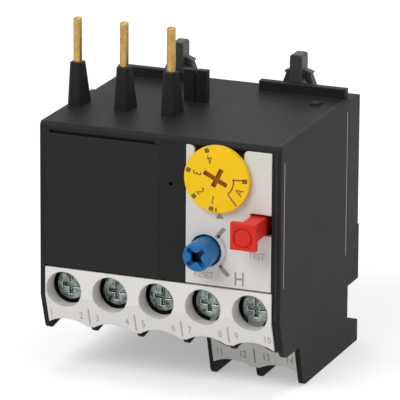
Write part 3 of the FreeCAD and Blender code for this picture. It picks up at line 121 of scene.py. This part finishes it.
def add_camera():
    azimuth, elevation, roll = 0.377851, 0.290179, 0.006454
    distance, aim_right, aim_up = 788.0353 * MM, 7.2344 * MM, 33.3189 * MM
    right = Vector((math.cos(azimuth), math.sin(azimuth), 0))
    back = Vector((math.sin(azimuth) * math.cos(elevation), -math.cos(azimuth) * math.cos(elevation),
                   math.sin(elevation)))
    up = back.cross(right)
    right, up = (math.cos(roll) * right + math.sin(roll) * up, math.cos(roll) * up - math.sin(roll) * right)
    camera_data = bpy.data.cameras.new("camera")
    camera_data.sensor_width = 36
    camera_data.lens = 405
    camera_data.clip_start = 0.01
    camera_data.clip_end = 20
    camera = bpy.data.objects.new("camera", camera_data)
    bpy.context.collection.objects.link(camera)
    turn = Matrix((right, up, back)).transposed().to_4x4()
    place = right * aim_right + up * aim_up + back * distance + Vector((0, FACE, 0))
    camera.matrix_world = Matrix.Translation(place) @ turn
    bpy.context.scene.camera = camera


def add_softbox(name, place, aim, size, watts):
    light = bpy.data.lights.new(name, "AREA")
    light.shape = "RECTANGLE"
    light.size, light.size_y = size
    light.energy = watts
    lamp = bpy.data.objects.new(name, light)
    lamp.location = place
    lamp.rotation_euler = (Vector(aim) - Vector(place)).to_track_quat("-Z", "Y").to_euler()
    bpy.context.collection.objects.link(lamp)


def seen_rays(nodes, links):
    """1 for rays from the camera, reflections and glass, 0 for light that falls on the relay."""
    path = nodes.new("ShaderNodeLightPath")
    total = path.outputs["Is Camera Ray"]
    for kind in ("Is Glossy Ray", "Is Transmission Ray"):
        add = nodes.new("ShaderNodeMath")
        add.operation = "MAXIMUM"
        links.new(total, add.inputs[0])
        links.new(path.outputs[kind], add.inputs[1])
        total = add.outputs[0]
    return total


def light_world():
    world = bpy.data.worlds.new("studio")
    bpy.context.scene.world = world
    world.use_nodes = True
    nodes, links = world.node_tree.nodes, world.node_tree.links
    nodes.clear()
    out = nodes.new("ShaderNodeOutputWorld")
    mix = nodes.new("ShaderNodeMixShader")
    fill = nodes.new("ShaderNodeBackground")
    fill.inputs["Color"].default_value = (1, 1, 1, 1)
    fill.inputs["Strength"].default_value = AMBIENT
    white = nodes.new("ShaderNodeBackground")
    white.inputs["Color"].default_value = (1, 1, 1, 1)
    white.inputs["Strength"].default_value = 1
    links.new(seen_rays(nodes, links), mix.inputs["Fac"])
    links.new(fill.outputs[0], mix.inputs[1])
    links.new(white.outputs[0], mix.inputs[2])
    links.new(mix.outputs[0], out.inputs["Surface"])


def add_floor():
    bpy.ops.mesh.primitive_plane_add(size=3)
    floor = bpy.context.object
    floor.name = "floor"
    finish = bpy.data.materials.new("floor_paint")
    finish.use_nodes = True
    nodes, links = finish.node_tree.nodes, finish.node_tree.links
    nodes.clear()
    out = nodes.new("ShaderNodeOutputMaterial")
    paint = nodes.new("ShaderNodeBsdfDiffuse")
    paint.inputs["Color"].default_value = (0.86, 0.86, 0.86, 1)
    lift = nodes.new("ShaderNodeEmission")
    lift.inputs["Color"].default_value = (1, 1, 1, 1)
    strength = nodes.new("ShaderNodeMath")
    strength.operation = "MULTIPLY"
    strength.inputs[1].default_value = FLOOR_LIFT
    links.new(seen_rays(nodes, links), strength.inputs[0])
    links.new(strength.outputs[0], lift.inputs["Strength"])
    add = nodes.new("ShaderNodeAddShader")
    links.new(paint.outputs[0], add.inputs[0])
    links.new(lift.outputs[0], add.inputs[1])
    links.new(add.outputs[0], out.inputs["Surface"])
    floor.data.materials.append(finish)


def light_studio():
    light_world()
    middle = (0, 0, 30 * MM)
    for name, place, size, watts in (("key_softbox", (-0.35, -0.75, 0.75), (0.7, 0.5), 6.2),
                                     ("top_softbox", (0.1, 0.15, 0.9), (0.8, 0.6), 3.0),
                                     ("side_softbox", (0.9, -0.3, 0.45), (0.5, 0.6), 1.3)):
        add_softbox(name, place, middle, size, watts)


# ---- shader groups ---------------------------------------------------------------------

def new_group(name, inputs, outputs):
    group = bpy.data.node_groups.new(name, "ShaderNodeTree")
    for label, kind, value in inputs:
        socket = group.interface.new_socket(label, in_out="INPUT", socket_type=kind)
        socket.default_value = value
    for label, kind in outputs:
        group.interface.new_socket(label, in_out="OUTPUT", socket_type=kind)
    start = group.nodes.new("NodeGroupInput")
    end = group.nodes.new("NodeGroupOutput")
    return group, start.outputs, end.inputs


def noise(group, place, scale, detail=2.0):
    node = group.nodes.new("ShaderNodeTexNoise")
    node.inputs["Detail"].default_value = detail
    group.links.new(place, node.inputs["Vector"])
    if hasattr(scale, "links"):
        group.links.new(scale, node.inputs["Scale"])
    else:
        node.inputs["Scale"].default_value = scale
    return node.outputs["Fac"]


def map_range(group, value, low, high, to_low, to_high):
    node = group.nodes.new("ShaderNodeMapRange")
    group.links.new(value, node.inputs["Value"])
    for label, amount in (("From Min", low), ("From Max", high), ("To Min", to_low), ("To Max", to_high)):
        if hasattr(amount, "links"):
            group.links.new(amount, node.inputs[label])
        else:
            node.inputs[label].default_value = amount
    return node.outputs["Result"]


def mix_colour(group, factor, first, second, blend="MIX"):
    node = group.nodes.new("ShaderNodeMix")
    node.data_type = "RGBA"
    node.blend_type = blend
    for socket, value in ((node.inputs[0], factor), (node.inputs[6], first), (node.inputs[7], second)):
        if hasattr(value, "links"):
            group.links.new(value, socket)
        else:
            socket.default_value = value
    return node.outputs[2]


def calculate(group, operation, *values):
    node = group.nodes.new("ShaderNodeMath")
    node.operation = operation
    for socket, value in zip(node.inputs, values):
        if hasattr(value, "links"):
            group.links.new(value, socket)
        else:
            socket.default_value = value
    return node.outputs[0]


def make_edges_group():
    """Rounded-looking edges: a softened normal and a mask that is 1 on the edges."""
    group, given, result = new_group(
        "soft_edges", [("Radius", "NodeSocketFloat", 0.0002)],
        [("Normal", "NodeSocketVector"), ("Edge", "NodeSocketFloat")])
    round_off = group.nodes.new("ShaderNodeBevel")
    round_off.samples = 6
    group.links.new(given["Radius"], round_off.inputs["Radius"])
    flat = group.nodes.new("ShaderNodeNewGeometry")
    compare = group.nodes.new("ShaderNodeVectorMath")
    compare.operation = "DOT_PRODUCT"
    group.links.new(round_off.outputs[0], compare.inputs[0])
    group.links.new(flat.outputs["Normal"], compare.inputs[1])
    group.links.new(round_off.outputs[0], result["Normal"])
    group.links.new(map_range(group, compare.outputs["Value"], 0.99, 0.8, 0, 1), result["Edge"])
    return group


def make_moulding_group(edges):
    """Moulded plastic: fine spark-eroded grain, faint cloudiness, and paler edges in patches that are wear
    and painted highlight together.
    """
    group, given, result = new_group(
        "moulded_plastic",
        [("Colour", "NodeSocketColor", (0.5, 0.5, 0.5, 1)),
         ("Worn Colour", "NodeSocketColor", (0.6, 0.6, 0.6, 1)),
         ("Wear And Highlight", "NodeSocketFloat", 0.4), ("Grain Size", "NodeSocketFloat", 5000.0),
         ("Grain Depth", "NodeSocketFloat", 0.25), ("Cloud", "NodeSocketFloat", 0.2),
         ("Smoothness", "NodeSocketFloat", 0.5), ("Edge Radius", "NodeSocketFloat", 0.0002)],
        [("Colour", "NodeSocketColor"), ("Roughness", "NodeSocketFloat"), ("Normal", "NodeSocketVector")])
    place = group.nodes.new("ShaderNodeTexCoord").outputs["Object"]
    soft = group.nodes.new("ShaderNodeGroup")
    soft.node_tree = edges
    group.links.new(given["Edge Radius"], soft.inputs["Radius"])
    cloud = noise(group, place, CLOUD_SCALE, 3.0)
    streak = noise(group, place, STREAK_SCALE, 2.0)
    shade = calculate(group, "ADD", calculate(group, "MULTIPLY", cloud, 0.7),
                      calculate(group, "MULTIPLY", streak, 0.3))
    swing = calculate(group, "MULTIPLY", calculate(group, "SUBTRACT", shade, 0.5), given["Cloud"])
    factor = calculate(group, "ADD", 1.0, swing)
    grey = group.nodes.new("ShaderNodeCombineColor")
    for socket in grey.inputs:
        group.links.new(factor, socket)
    varied = mix_colour(group, 1.0, given["Colour"], grey.outputs[0], "MULTIPLY")
    # Paler edges in patches: wear together with a painted highlight
    patchy = map_range(group, noise(group, place, WEAR_SCALE, 3.0), 0.35, 0.65, 0.3, 1.0)
    edge = calculate(group, "MULTIPLY", soft.outputs["Edge"], patchy)
    wear_and_highlight = calculate(group, "MULTIPLY", edge, given["Wear And Highlight"])
    group.links.new(mix_colour(group, wear_and_highlight, varied, given["Worn Colour"]), result["Colour"])
    rough = calculate(group, "ADD", given["Smoothness"], calculate(group, "MULTIPLY", swing, 0.4))
    group.links.new(rough, result["Roughness"])
    grain = group.nodes.new("ShaderNodeBump")
    grain.inputs["Distance"].default_value = GRAIN_HEIGHT
    group.links.new(noise(group, place, given["Grain Size"], 2.0), grain.inputs["Height"])
    group.links.new(given["Grain Depth"], grain.inputs["Strength"])
    group.links.new(soft.outputs["Normal"], grain.inputs["Normal"])
    group.links.new(grain.outputs[0], result["Normal"])
    return group


def make_metal_group(edges):
    """Plated or drawn metal: fine scratches along one axis, stains, and a painted highlight on the edges."""
    group, given, result = new_group(
        "worked_metal",
        [("Colour", "NodeSocketColor", (0.6, 0.6, 0.6, 1)), ("Stain", "NodeSocketColor", (0.3, 0.3, 0.3, 1)),
         ("Bright", "NodeSocketColor", (0.8, 0.8, 0.8, 1)), ("Stretch", "NodeSocketVector", (1, 1, 1)),
         ("Scratch Depth", "NodeSocketFloat", 0.2), ("Stain Amount", "NodeSocketFloat", 0.5),
         ("Smoothness", "NodeSocketFloat", 0.3), ("Edge Radius", "NodeSocketFloat", 0.0001)],
        [("Colour", "NodeSocketColor"), ("Roughness", "NodeSocketFloat"), ("Normal", "NodeSocketVector")])
    place = group.nodes.new("ShaderNodeTexCoord").outputs["Object"]
    soft = group.nodes.new("ShaderNodeGroup")
    soft.node_tree = edges
    group.links.new(given["Edge Radius"], soft.inputs["Radius"])
    pulled = group.nodes.new("ShaderNodeVectorMath")
    pulled.operation = "MULTIPLY"
    group.links.new(place, pulled.inputs[0])
    group.links.new(given["Stretch"], pulled.inputs[1])
    scratch = noise(group, pulled.outputs[0], SCRATCH_SCALE, 4.0)
    blotch = map_range(group, noise(group, place, STAIN_SCALE, 4.0), 0.4, 0.7, 0.0, 1.0)
    stained = mix_colour(group, calculate(group, "MULTIPLY", blotch, given["Stain Amount"]), given["Colour"],
                         given["Stain"])
    # Painted highlight: the edges take the bright colour
    group.links.new(mix_colour(group, soft.outputs["Edge"], stained, given["Bright"]), result["Colour"])
    rough = calculate(group, "ADD", given["Smoothness"],
                      calculate(group, "MULTIPLY", calculate(group, "SUBTRACT", scratch, 0.5), 0.5))
    group.links.new(rough, result["Roughness"])
    scrape = group.nodes.new("ShaderNodeBump")
    scrape.inputs["Distance"].default_value = SCRATCH_HEIGHT
    group.links.new(scratch, scrape.inputs["Height"])
    group.links.new(given["Scratch Depth"], scrape.inputs["Strength"])
    group.links.new(soft.outputs["Normal"], scrape.inputs["Normal"])
    group.links.new(scrape.outputs[0], result["Normal"])
    return group


EDGES = make_edges_group()
MOULDING = make_moulding_group(EDGES)
METAL = make_metal_group(EDGES)


# ---- materials -------------------------------------------------------------------------

def shaded(name, group, values, **plain):
    """A material whose colour, roughness and normal come from a group with its own values."""
    made = bpy.data.materials.new(name)
    made.use_nodes = True
    nodes, links = made.node_tree.nodes, made.node_tree.links
    shader = nodes["Principled BSDF"]
    effect = nodes.new("ShaderNodeGroup")
    effect.node_tree = group
    for label, value in values.items():
        effect.inputs[label].default_value = value
    for label, value in plain.items():
        shader.inputs[label.replace("_", " ")].default_value = value
    links.new(effect.outputs["Colour"], shader.inputs["Base Color"])
    links.new(effect.outputs["Roughness"], shader.inputs["Roughness"])
    links.new(effect.outputs["Normal"], shader.inputs["Normal"])
    return made


def plastic(name, colour, worn_and_highlit, wear_and_highlight=0.4, grain=5000.0, depth=0.25, cloud=0.2, rough=0.5, edge=0.2,
            shine=0.5):
    values = {"Colour": (*colour, 1), "Worn Colour": (*worn_and_highlit, 1), "Wear And Highlight": wear_and_highlight, "Grain Size": grain,
              "Grain Depth": depth, "Cloud": cloud, "Smoothness": rough, "Edge Radius": edge * MM}
    return shaded(name, MOULDING, values, IOR=1.5, Specular_IOR_Level=shine)


def metal(name, colour, stain, edge_highlight, stretch=(1, 1, 1), scratch=0.2, amount=0.5, rough=0.3, edge=0.1):
    values = {"Colour": (*colour, 1), "Stain": (*stain, 1), "Bright": (*edge_highlight, 1), "Stretch": stretch,
              "Scratch Depth": scratch, "Stain Amount": amount, "Smoothness": rough, "Edge Radius": edge * MM}
    return shaded(name, METAL, values, Metallic=1.0)


def ink(name, colour):
    """Printing ink, a little uneven; the same finish also serves the painted shadow lines in the seams."""
    return plastic(name, colour, colour, wear_and_highlight=0, grain=9000.0, depth=0.1, cloud=0.5, rough=0.6, edge=0.02)


def paint_recess_shade(material, centre, radius, depth_limit, shade_colour):
    """Paint shade into a recess in a round front: a darker colour inside a radius and behind a depth along Y.
    """
    nodes, links = material.node_tree.nodes, material.node_tree.links
    place = nodes.new("ShaderNodeTexCoord")
    split = nodes.new("ShaderNodeSeparateXYZ")
    links.new(place.outputs["Object"], split.inputs[0])
    behind = nodes.new("ShaderNodeMapRange")
    behind.inputs["From Min"].default_value = depth_limit
    behind.inputs["From Max"].default_value = depth_limit + RECESS_SHADE_FADE
    links.new(split.outputs["Y"], behind.inputs["Value"])
    across = nodes.new("ShaderNodeVectorMath")
    across.operation = "DISTANCE"
    flat = nodes.new("ShaderNodeCombineXYZ")
    links.new(split.outputs["X"], flat.inputs["X"])
    links.new(split.outputs["Z"], flat.inputs["Z"])
    links.new(flat.outputs[0], across.inputs[0])
    across.inputs[1].default_value = (centre.x, 0, centre.z)
    inside = nodes.new("ShaderNodeMath")
    inside.operation = "LESS_THAN"
    inside.inputs[1].default_value = radius
    links.new(across.outputs["Value"], inside.inputs[0])
    # Painted shade mask: behind the depth and inside the radius
    painted_shade_mask = nodes.new("ShaderNodeMath")
    painted_shade_mask.operation = "MULTIPLY"
    links.new(behind.outputs["Result"], painted_shade_mask.inputs[0])
    links.new(inside.outputs[0], painted_shade_mask.inputs[1])
    shader = nodes["Principled BSDF"]
    colour = shader.inputs["Base Color"].links[0].from_socket
    mix = nodes.new("ShaderNodeMix")
    mix.data_type = "RGBA"
    links.new(painted_shade_mask.outputs[0], mix.inputs[0])
    links.new(colour, mix.inputs[6])
    mix.inputs[7].default_value = (*shade_colour, 1)
    links.new(mix.outputs[2], shader.inputs["Base Color"])


BLACK_SHELL = plastic("black_shell", (0.0145, 0.014, 0.0135), (0.06, 0.06, 0.06), wear_and_highlight=0.6, grain=4200.0,
                      depth=0.3, cloud=0.35, rough=0.54, edge=0.3, shine=0.13)
COVER_BLACK = plastic("cover_black", (0.019, 0.017, 0.016), (0.08, 0.075, 0.07), wear_and_highlight=0.6, grain=4200.0,
                      depth=0.3, cloud=0.35, rough=0.56, edge=0.3, shine=0.1)
INSERT_BLACK = plastic("insert_black", (0.013, 0.0125, 0.012), (0.04, 0.04, 0.04), wear_and_highlight=0.4, grain=6000.0,
                       depth=0.15, cloud=0.25, rough=0.45, edge=0.15, shine=0.18)
HOOK_BLACK = plastic("hook_black", (0.036, 0.036, 0.037), (0.15, 0.15, 0.15), wear_and_highlight=0.8, grain=5200.0,
                     depth=0.25, cloud=0.3, rough=0.42, edge=0.25, shine=0.35)
PANEL_WHITE = plastic("panel_white", (0.705, 0.685, 0.655), (0.85, 0.83, 0.8), wear_and_highlight=0.6, grain=6500.0,
                      depth=0.12, cloud=0.07, rough=0.42, edge=0.3)
# Painted light: the panel's white made lighter for the terminal strip and its collars
STRIP_WHITE_PAINTED_LIGHT = plastic("strip_white_painted_light", (0.79, 0.77, 0.74), (0.88, 0.86, 0.83), wear_and_highlight=0.6, grain=6500.0,
                      depth=0.12, cloud=0.07, rough=0.42, edge=0.3)
LOWER_WHITE = plastic("lower_white", (0.66, 0.655, 0.63), (0.78, 0.77, 0.75), wear_and_highlight=0.6, grain=6500.0,
                      depth=0.12, cloud=0.1, rough=0.45, edge=0.25)
DIAL_YELLOW = plastic("dial_yellow", (0.98, 0.6, 0.006), (0.98, 0.74, 0.06), wear_and_highlight=0.6, grain=7000.0,
                      depth=0.08, cloud=0.12, rough=0.4, edge=0.3, shine=0.2)
RESET_BLUE = plastic("reset_blue", (0.003, 0.135, 0.39), (0.05, 0.38, 0.75), wear_and_highlight=0.6, grain=7000.0,
                     depth=0.08, cloud=0.15, rough=0.3, edge=0.3, shine=0.3)
TEST_RED = plastic("test_red", (0.73, 0.022, 0.012), (0.9, 0.12, 0.07), wear_and_highlight=0.5, grain=7000.0,
                   depth=0.08, cloud=0.12, rough=0.36, edge=0.25, shine=0.2)
INNER_PLASTIC = plastic("inner_plastic", (0.35, 0.33, 0.29), (0.5, 0.48, 0.43), rough=0.55)
# The third colour of each metal is its painted edge highlight
PIN_BRASS = metal("pin_brass", (0.5, 0.31, 0.1), (0.2, 0.1, 0.03), (0.8, 0.58, 0.26),
                  stretch=(1, 1, 0.12), scratch=0.35, amount=0.45, rough=0.28, edge=0.12)
SCREW_ZINC = metal("screw_zinc", (0.27, 0.31, 0.29), (0.008, 0.016, 0.014), (0.86, 0.9, 0.86),
                   stretch=(1, 0.25, 1), scratch=0.8, amount=0.95, rough=0.26, edge=0.22)
CLAMP_ZINC = metal("clamp_zinc", (0.26, 0.28, 0.28), (0.08, 0.09, 0.09), (0.55, 0.57, 0.57),
                   stretch=(0.25, 1, 1), scratch=0.4, amount=0.6, rough=0.34, edge=0.12)
BAR_TIN = metal("bar_tin", (0.6, 0.55, 0.44), (0.25, 0.22, 0.16), (0.8, 0.76, 0.66), rough=0.36)
INNER_STEEL = metal("inner_steel", (0.4, 0.39, 0.38), (0.15, 0.14, 0.13), (0.65, 0.64, 0.62), rough=0.4)
PANEL_INK = ink("panel_ink", (0.3, 0.26, 0.235))
GUIDE_INK = ink("guide_ink", (0.52, 0.5, 0.47))
FAINT_INK = ink("faint_ink", (0.42, 0.39, 0.36))
DIAL_INK = ink("dial_ink", (0.16, 0.1, 0.01))
STRIP_INK = ink("strip_ink", (0.45, 0.37, 0.34))
SIDE_INK = ink("side_ink", (0.5, 0.49, 0.47))
# Painted shadow: the dark lines in the seams between the side cover, the deck and the front
SEAM_SHADE = ink("seam_shade", (0.004, 0.004, 0.004))
# Painted shade: dark orange in the dial's recess, near black in the reset button's socket
paint_recess_shade(DIAL_YELLOW, DIAL_CENTRE, 4.2 * MM, DIAL_LOW.y + 0.1 * MM, (0.33, 0.1, 0.008))
paint_recess_shade(RESET_BLUE, RESET_CENTRE, 1.5 * MM, RESET_LOW.y + 0.6 * MM, (0.001, 0.006, 0.014))


def dress_nodes():
    finishes = {
        "front_housing": BLACK_SHELL, "rear_housing": BLACK_SHELL, "side_cover": COVER_BLACK,
        "front_insert": INSERT_BLACK, "mounting_hook": HOOK_BLACK, "control_panel": PANEL_WHITE,
        "terminal_strip": STRIP_WHITE_PAINTED_LIGHT, "lower_terminal_plate": LOWER_WHITE, "setting_dial": DIAL_YELLOW,
        "reset_button": RESET_BLUE, "test_button": TEST_RED, "plug_pin": PIN_BRASS,
        "terminal_screw": SCREW_ZINC, "clamp_plate": CLAMP_ZINC, "load_bar": BAR_TIN,
        "open_contact": BAR_TIN, "closed_contact": BAR_TIN, "bimetal": INNER_STEEL,
        "heater_coil": INNER_STEEL, "reset_spring": INNER_STEEL, "test_spring": INNER_STEEL,
    }
    for name, node in NODES.items():
        finish = next((made for start, made in finishes.items() if name.startswith(start)), INNER_PLASTIC)
        if not node.material_slots:
            node.data.materials.append(finish)
        for slot in node.material_slots:
            slot.material = finish


# ---- printing --------------------------------------------------------------------------

def settle(piece, place, material, body):
    """Bake a piece's place into its mesh, then give it its finish and the body it rides on."""
    piece.data.transform(place @ piece.matrix_world)
    piece.matrix_world = Matrix.Identity(4)
    piece.data.materials.clear()
    piece.data.materials.append(material)
    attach(piece, body)
    return piece


def on_front(x, z, y, turn=0.0, lean=0.0):
    """Stand a flat piece, drawn in XY, on the front at a place; turn spins it, lean tips its top forward."""
    upright = Matrix.Rotation(math.radians(90), 4, "X")
    spin = Matrix.Rotation(turn, 4, "Z")
    tip = Matrix.Rotation(lean, 4, "X")
    return Matrix.Translation((x, y, z)) @ tip @ upright @ spin


def lettering(text, height, width=1.0):
    """Plain characters, centred on the origin, as a thin mesh."""
    bpy.ops.object.text_add()
    words = bpy.context.object
    words.data.body = text
    words.data.size = height / CAPITAL_SHARE
    words.data.align_x = "CENTER"
    words.data.extrude = INK
    words.data.resolution_u = 3
    bpy.context.view_layer.update()
    bpy.ops.object.convert(target="MESH")
    words = bpy.context.object
    words.data.transform(Matrix.Diagonal((width, 1, 1, 1)) @ Matrix.Translation((0, -height / 2, 0)))
    return words


def mark(width, height):
    """A thin bar, centred on the origin, with its corners taken off: print, and also the painted shadow lines
    in the seams.
    """
    bpy.ops.mesh.primitive_cube_add(size=1)
    bar = bpy.context.object
    bar.data.transform(Matrix.Diagonal((width, height, 2 * INK, 1)))
    bpy.ops.object.mode_set(mode="EDIT")
    bpy.ops.mesh.select_all(action="SELECT")
    bpy.ops.mesh.bevel(offset=0.2 * INK, segments=1, affect="EDGES")
    bpy.ops.object.mode_set(mode="OBJECT")
    return bar


def ring_stroke(radius, width, start, end):
    """Part of a printed ring round the origin, between two angles."""
    bpy.ops.mesh.primitive_plane_add(size=1)
    stroke = bpy.context.object
    across = Matrix.Diagonal((width, 2 * INK, 1, 1))
    upright = Matrix.Rotation(math.radians(90), 4, "X")
    place = Matrix.Rotation(start, 4, "Z") @ Matrix.Translation((radius, 0, 0))
    stroke.data.transform(place @ upright @ across)
    bpy.ops.object.mode_set(mode="EDIT")
    bpy.ops.mesh.select_all(action="SELECT")
    bpy.ops.mesh.spin(steps=max(4, int(abs(end - start) / math.radians(6))), angle=start - end,
                      center=(0, 0, 0), axis=(0, 0, 1), dupli=False)
    bpy.ops.object.mode_set(mode="OBJECT")
    return stroke


def gather(name, pieces):
    """Join pieces into one object and recalculate its normals."""
    bpy.ops.object.select_all(action="DESELECT")
    for piece in pieces:
        piece.select_set(True)
    bpy.context.view_layer.objects.active = pieces[0]
    if len(pieces) > 1:
        bpy.ops.object.join()
    joined = bpy.context.object
    joined.name = name
    bpy.ops.object.mode_set(mode="EDIT")
    bpy.ops.mesh.select_all(action="SELECT")
    bpy.ops.mesh.normals_make_consistent(inside=False)
    bpy.ops.object.mode_set(mode="OBJECT")
    bpy.ops.object.select_all(action="DESELECT")
    return joined


def moved(piece, place):
    piece.data.transform(place @ piece.matrix_world)
    piece.matrix_world = Matrix.Identity(4)
    return piece


def polar(radius, degrees):
    angle = math.radians(degrees)
    return radius * math.cos(angle), radius * math.sin(angle)


def strokes(table):
    """Printed bars round the origin, each along its own radius."""
    bars = []
    for degrees, radius, length, width in table:
        x, y = polar(radius * MM, degrees)
        turn = Matrix.Rotation(math.radians(degrees), 4, "Z")
        bars.append(moved(mark(length * MM, width * MM), Matrix.Translation((x, y, 0)) @ turn))
    return bars


def dial_scale():
    """Plain numbers, their marks and the unit's bracket, printed on the dial's face."""
    marks = []
    for number, degrees in DIAL_NUMBERS:
        turn = Matrix.Rotation(math.radians(degrees + 90), 4, "Z")
        x, y = polar(DIAL_NUMBER_RADIUS, degrees)
        marks.append(moved(lettering(number, DIAL_NUMBER_HEIGHT, 0.85), Matrix.Translation((x, y, 0)) @ turn))
        x, y = polar(DIAL_MARK_RADIUS, degrees)
        marks.append(moved(mark(DIAL_MARK_SIZE, DIAL_MARK_SIZE), Matrix.Translation((x, y, 0)) @ turn))
    marks += strokes(DIAL_STROKES)
    marks.append(ring_stroke(BRACKET_RADIUS, BRACKET_WIDTH, math.radians(BRACKET_START),
                             math.radians(BRACKET_END)))
    x, y = polar(UNIT_RADIUS, UNIT_ANGLE)
    turn = Matrix.Rotation(math.radians(UNIT_ANGLE + 90), 4, "Z")
    marks.append(moved(lettering("A", UNIT_HEIGHT, 0.9), Matrix.Translation((x, y, 0)) @ turn))
    scale = gather("dial_scale", marks)
    settle(scale, on_front(DIAL_CENTRE.x, DIAL_CENTRE.z, DIAL_LOW.y), DIAL_INK, "dial")


def panel_print():
    """Pointer under the dial, guide round the reset button, and a word by each button."""
    bpy.ops.mesh.primitive_cylinder_add(vertices=3, radius=POINTER_RADIUS, depth=2 * INK)
    pointer = bpy.context.object
    pointer.data.transform(Matrix.Diagonal((1.0, 0.87, 1, 1)))
    pointer = gather("dial_pointer", [pointer])
    settle(pointer, on_front(DIAL_CENTRE.x + POINTER_SHIFT, DIAL_LOW.z - POINTER_RADIUS, FACE), PANEL_INK,
           "case")
    marks = strokes(GUIDE_STROKES)
    marks.append(moved(lettering("H", HAND_LETTER_HEIGHT, 0.8), Matrix.Translation(HAND_LETTER_PLACE)))
    arc = gather("reset_guide_arc", [ring_stroke(GUIDE_RADIUS, GUIDE_WIDTH, math.radians(GUIDE_START),
                                                 math.radians(GUIDE_END))])
    settle(arc, on_front(RESET_CENTRE.x, RESET_CENTRE.z, FACE), GUIDE_INK, "case")
    guide = gather("reset_guide_marks", marks)
    settle(guide, on_front(RESET_CENTRE.x, RESET_CENTRE.z, FACE), PANEL_INK, "case")
    for name, text, x, z in BUTTON_WORDS:
        words = gather(name, [lettering(text, WORD_HEIGHT, 0.85)])
        settle(words, on_front(RESET_CENTRE.x + x, RESET_CENTRE.z + z, FACE), FAINT_INK, "case")


def screw_middle(number):
    """Across and up to the middle of a terminal screw."""
    low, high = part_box(f"terminal_screw_{number}")
    return (low.x + high.x) / 2, (low.z + high.z) / 2


def tier_numbers(name, screws, first, face, chin, slope, height, offset, rule, ink):
    """Plain numbers on both sides of each terminal in one tier, and the rules between the terminals."""
    lean = math.atan(slope)
    depth = face + (chin - height) * slope
    places = [screw_middle(number)[0] for number in screws]
    marks = []
    for index, x in enumerate(places):
        for step, side in enumerate((-1, 1)):
            words = lettering(str(first + 2 * index + step), TERMINAL_NUMBER_HEIGHT, 0.72)
            marks.append(moved(words, on_front(x + side * offset, height, depth, lean=lean)))
    for left, right in zip(places, places[1:]):
        line = mark(RULE_WIDTH, rule)
        marks.append(moved(line, on_front((left + right) / 2, height, depth, lean=lean)))
    settle(gather(name, marks), Matrix.Identity(4), ink, "case")


def strip_numbers():
    """Numbers on the upper strip from 1, and on the lower plate from 11."""
    tier_numbers("strip_numbers", range(1, 6), 1, FACE, CHIN_HEIGHT, CHIN_SLOPE, height=11.5 * MM,
                 offset=2.85 * MM, rule=3.3 * MM, ink=STRIP_INK)
    tier_numbers("lower_numbers", range(6, 8), 11, LOWER_LOW.y, LOWER_CHIN, LOWER_SLOPE, height=4.9 * MM,
                 offset=2.2 * MM, rule=3.0 * MM, ink=PANEL_INK)


def strip_collars():
    """Thin guide collars behind the five upper screw holes."""
    collars = []
    for i in range(1, 6):
        x, z = screw_middle(i)
        bpy.ops.mesh.primitive_cylinder_add(vertices=72, radius=COLLAR_RADIUS, depth=COLLAR_LENGTH,
                                            end_fill_type="NOTHING")
        collar = bpy.context.object
        bpy.ops.object.mode_set(mode="EDIT")
        bpy.ops.mesh.select_all(action="SELECT")
        bpy.ops.mesh.solidify(thickness=COLLAR_WALL)
        bpy.ops.object.mode_set(mode="OBJECT")
        collars.append(moved(collar, on_front(x, z, FACE + COLLAR_START + COLLAR_LENGTH / 2)))
    settle(gather("strip_collars", collars), Matrix.Identity(4), STRIP_WHITE_PAINTED_LIGHT, "case")


def strip_edge():
    """The shell's edge that closes the gap between the terminal strip and the side cover."""
    middle = (STRIP_HIGH.x + COVER_INNER) / 2
    pieces = []
    for low, high, lean in ((CHIN_HEIGHT, STRIP_HIGH.z, 0.0), (CHIN_LOW, CHIN_HEIGHT, math.atan(CHIN_SLOPE))):
        length = (high - low) / math.cos(lean)
        bpy.ops.mesh.primitive_cube_add(size=1)
        wall = bpy.context.object
        wall.data.transform(Matrix.Diagonal((COVER_INNER - STRIP_HIGH.x, length, EDGE_THICK, 1)))
        setback = FACE + EDGE_SETBACK + EDGE_THICK / 2 + (CHIN_HEIGHT - low) * CHIN_SLOPE / 2
        pieces.append(moved(wall, on_front(middle, (low + high) / 2, setback, lean=lean)))
    settle(gather("strip_edge", pieces), Matrix.Identity(4), BLACK_SHELL, "case")


def press_springs():
    """A copy of each button's spring, riding on the case with a mesh of its own, in place of the original,
    which is hidden.
    """
    for name, joint, travel in (("reset_spring", "reset_push", 2.0 * MM),
                                ("test_spring", "test_push", 1.5 * MM)):
        bpy.ops.object.select_all(action="DESELECT")
        NODES[name].select_set(True)
        bpy.context.view_layer.objects.active = NODES[name]
        bpy.ops.object.duplicate()
        spring = bpy.context.object
        spring.name = name + "_coil"
        bpy.ops.object.select_all(action="DESELECT")
        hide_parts(name)
        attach(spring, "case")
        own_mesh(spring)


def side_rules():
    """Two plain upright rules printed on the side cover."""
    rules = []
    on_side = Matrix.Rotation(math.radians(90), 4, "Z") @ Matrix.Rotation(math.radians(90), 4, "X")
    for y, low, high in SIDE_RULES:
        bar = mark(0.22 * MM, (high - low) * MM)
        place = Matrix.Translation((CASE_HIGH.x - 0.6 * INK, FACE + y * MM, (low + high) / 2 * MM))
        rules.append(moved(bar, place @ on_side))
    settle(gather("side_rules", rules), Matrix.Identity(4), SIDE_INK, "case")


def cover_seams():
    """Shadow lines where the side cover meets the deck and the front."""
    deck = mark(0.24 * MM, 33.2 * MM)
    deck = moved(deck, Matrix.Translation((COVER_INNER, FACE + 17.6 * MM, CASE_HIGH.z)))
    front = moved(mark(0.2 * MM, 30.2 * MM), on_front(COVER_INNER, CASE_HIGH.z - 16.1 * MM, FACE))
    settle(gather("cover_seams", [deck, front]), Matrix.Identity(4), SEAM_SHADE, "case")


bpy.ops.object.select_all(action="DESELECT")
bpy.context.scene.view_settings.view_transform = "Standard"
add_camera()
light_studio()
add_floor()
dress_nodes()
dial_scale()
panel_print()
strip_numbers()
strip_collars()
strip_edge()
press_springs()
side_rules()
cover_seams()
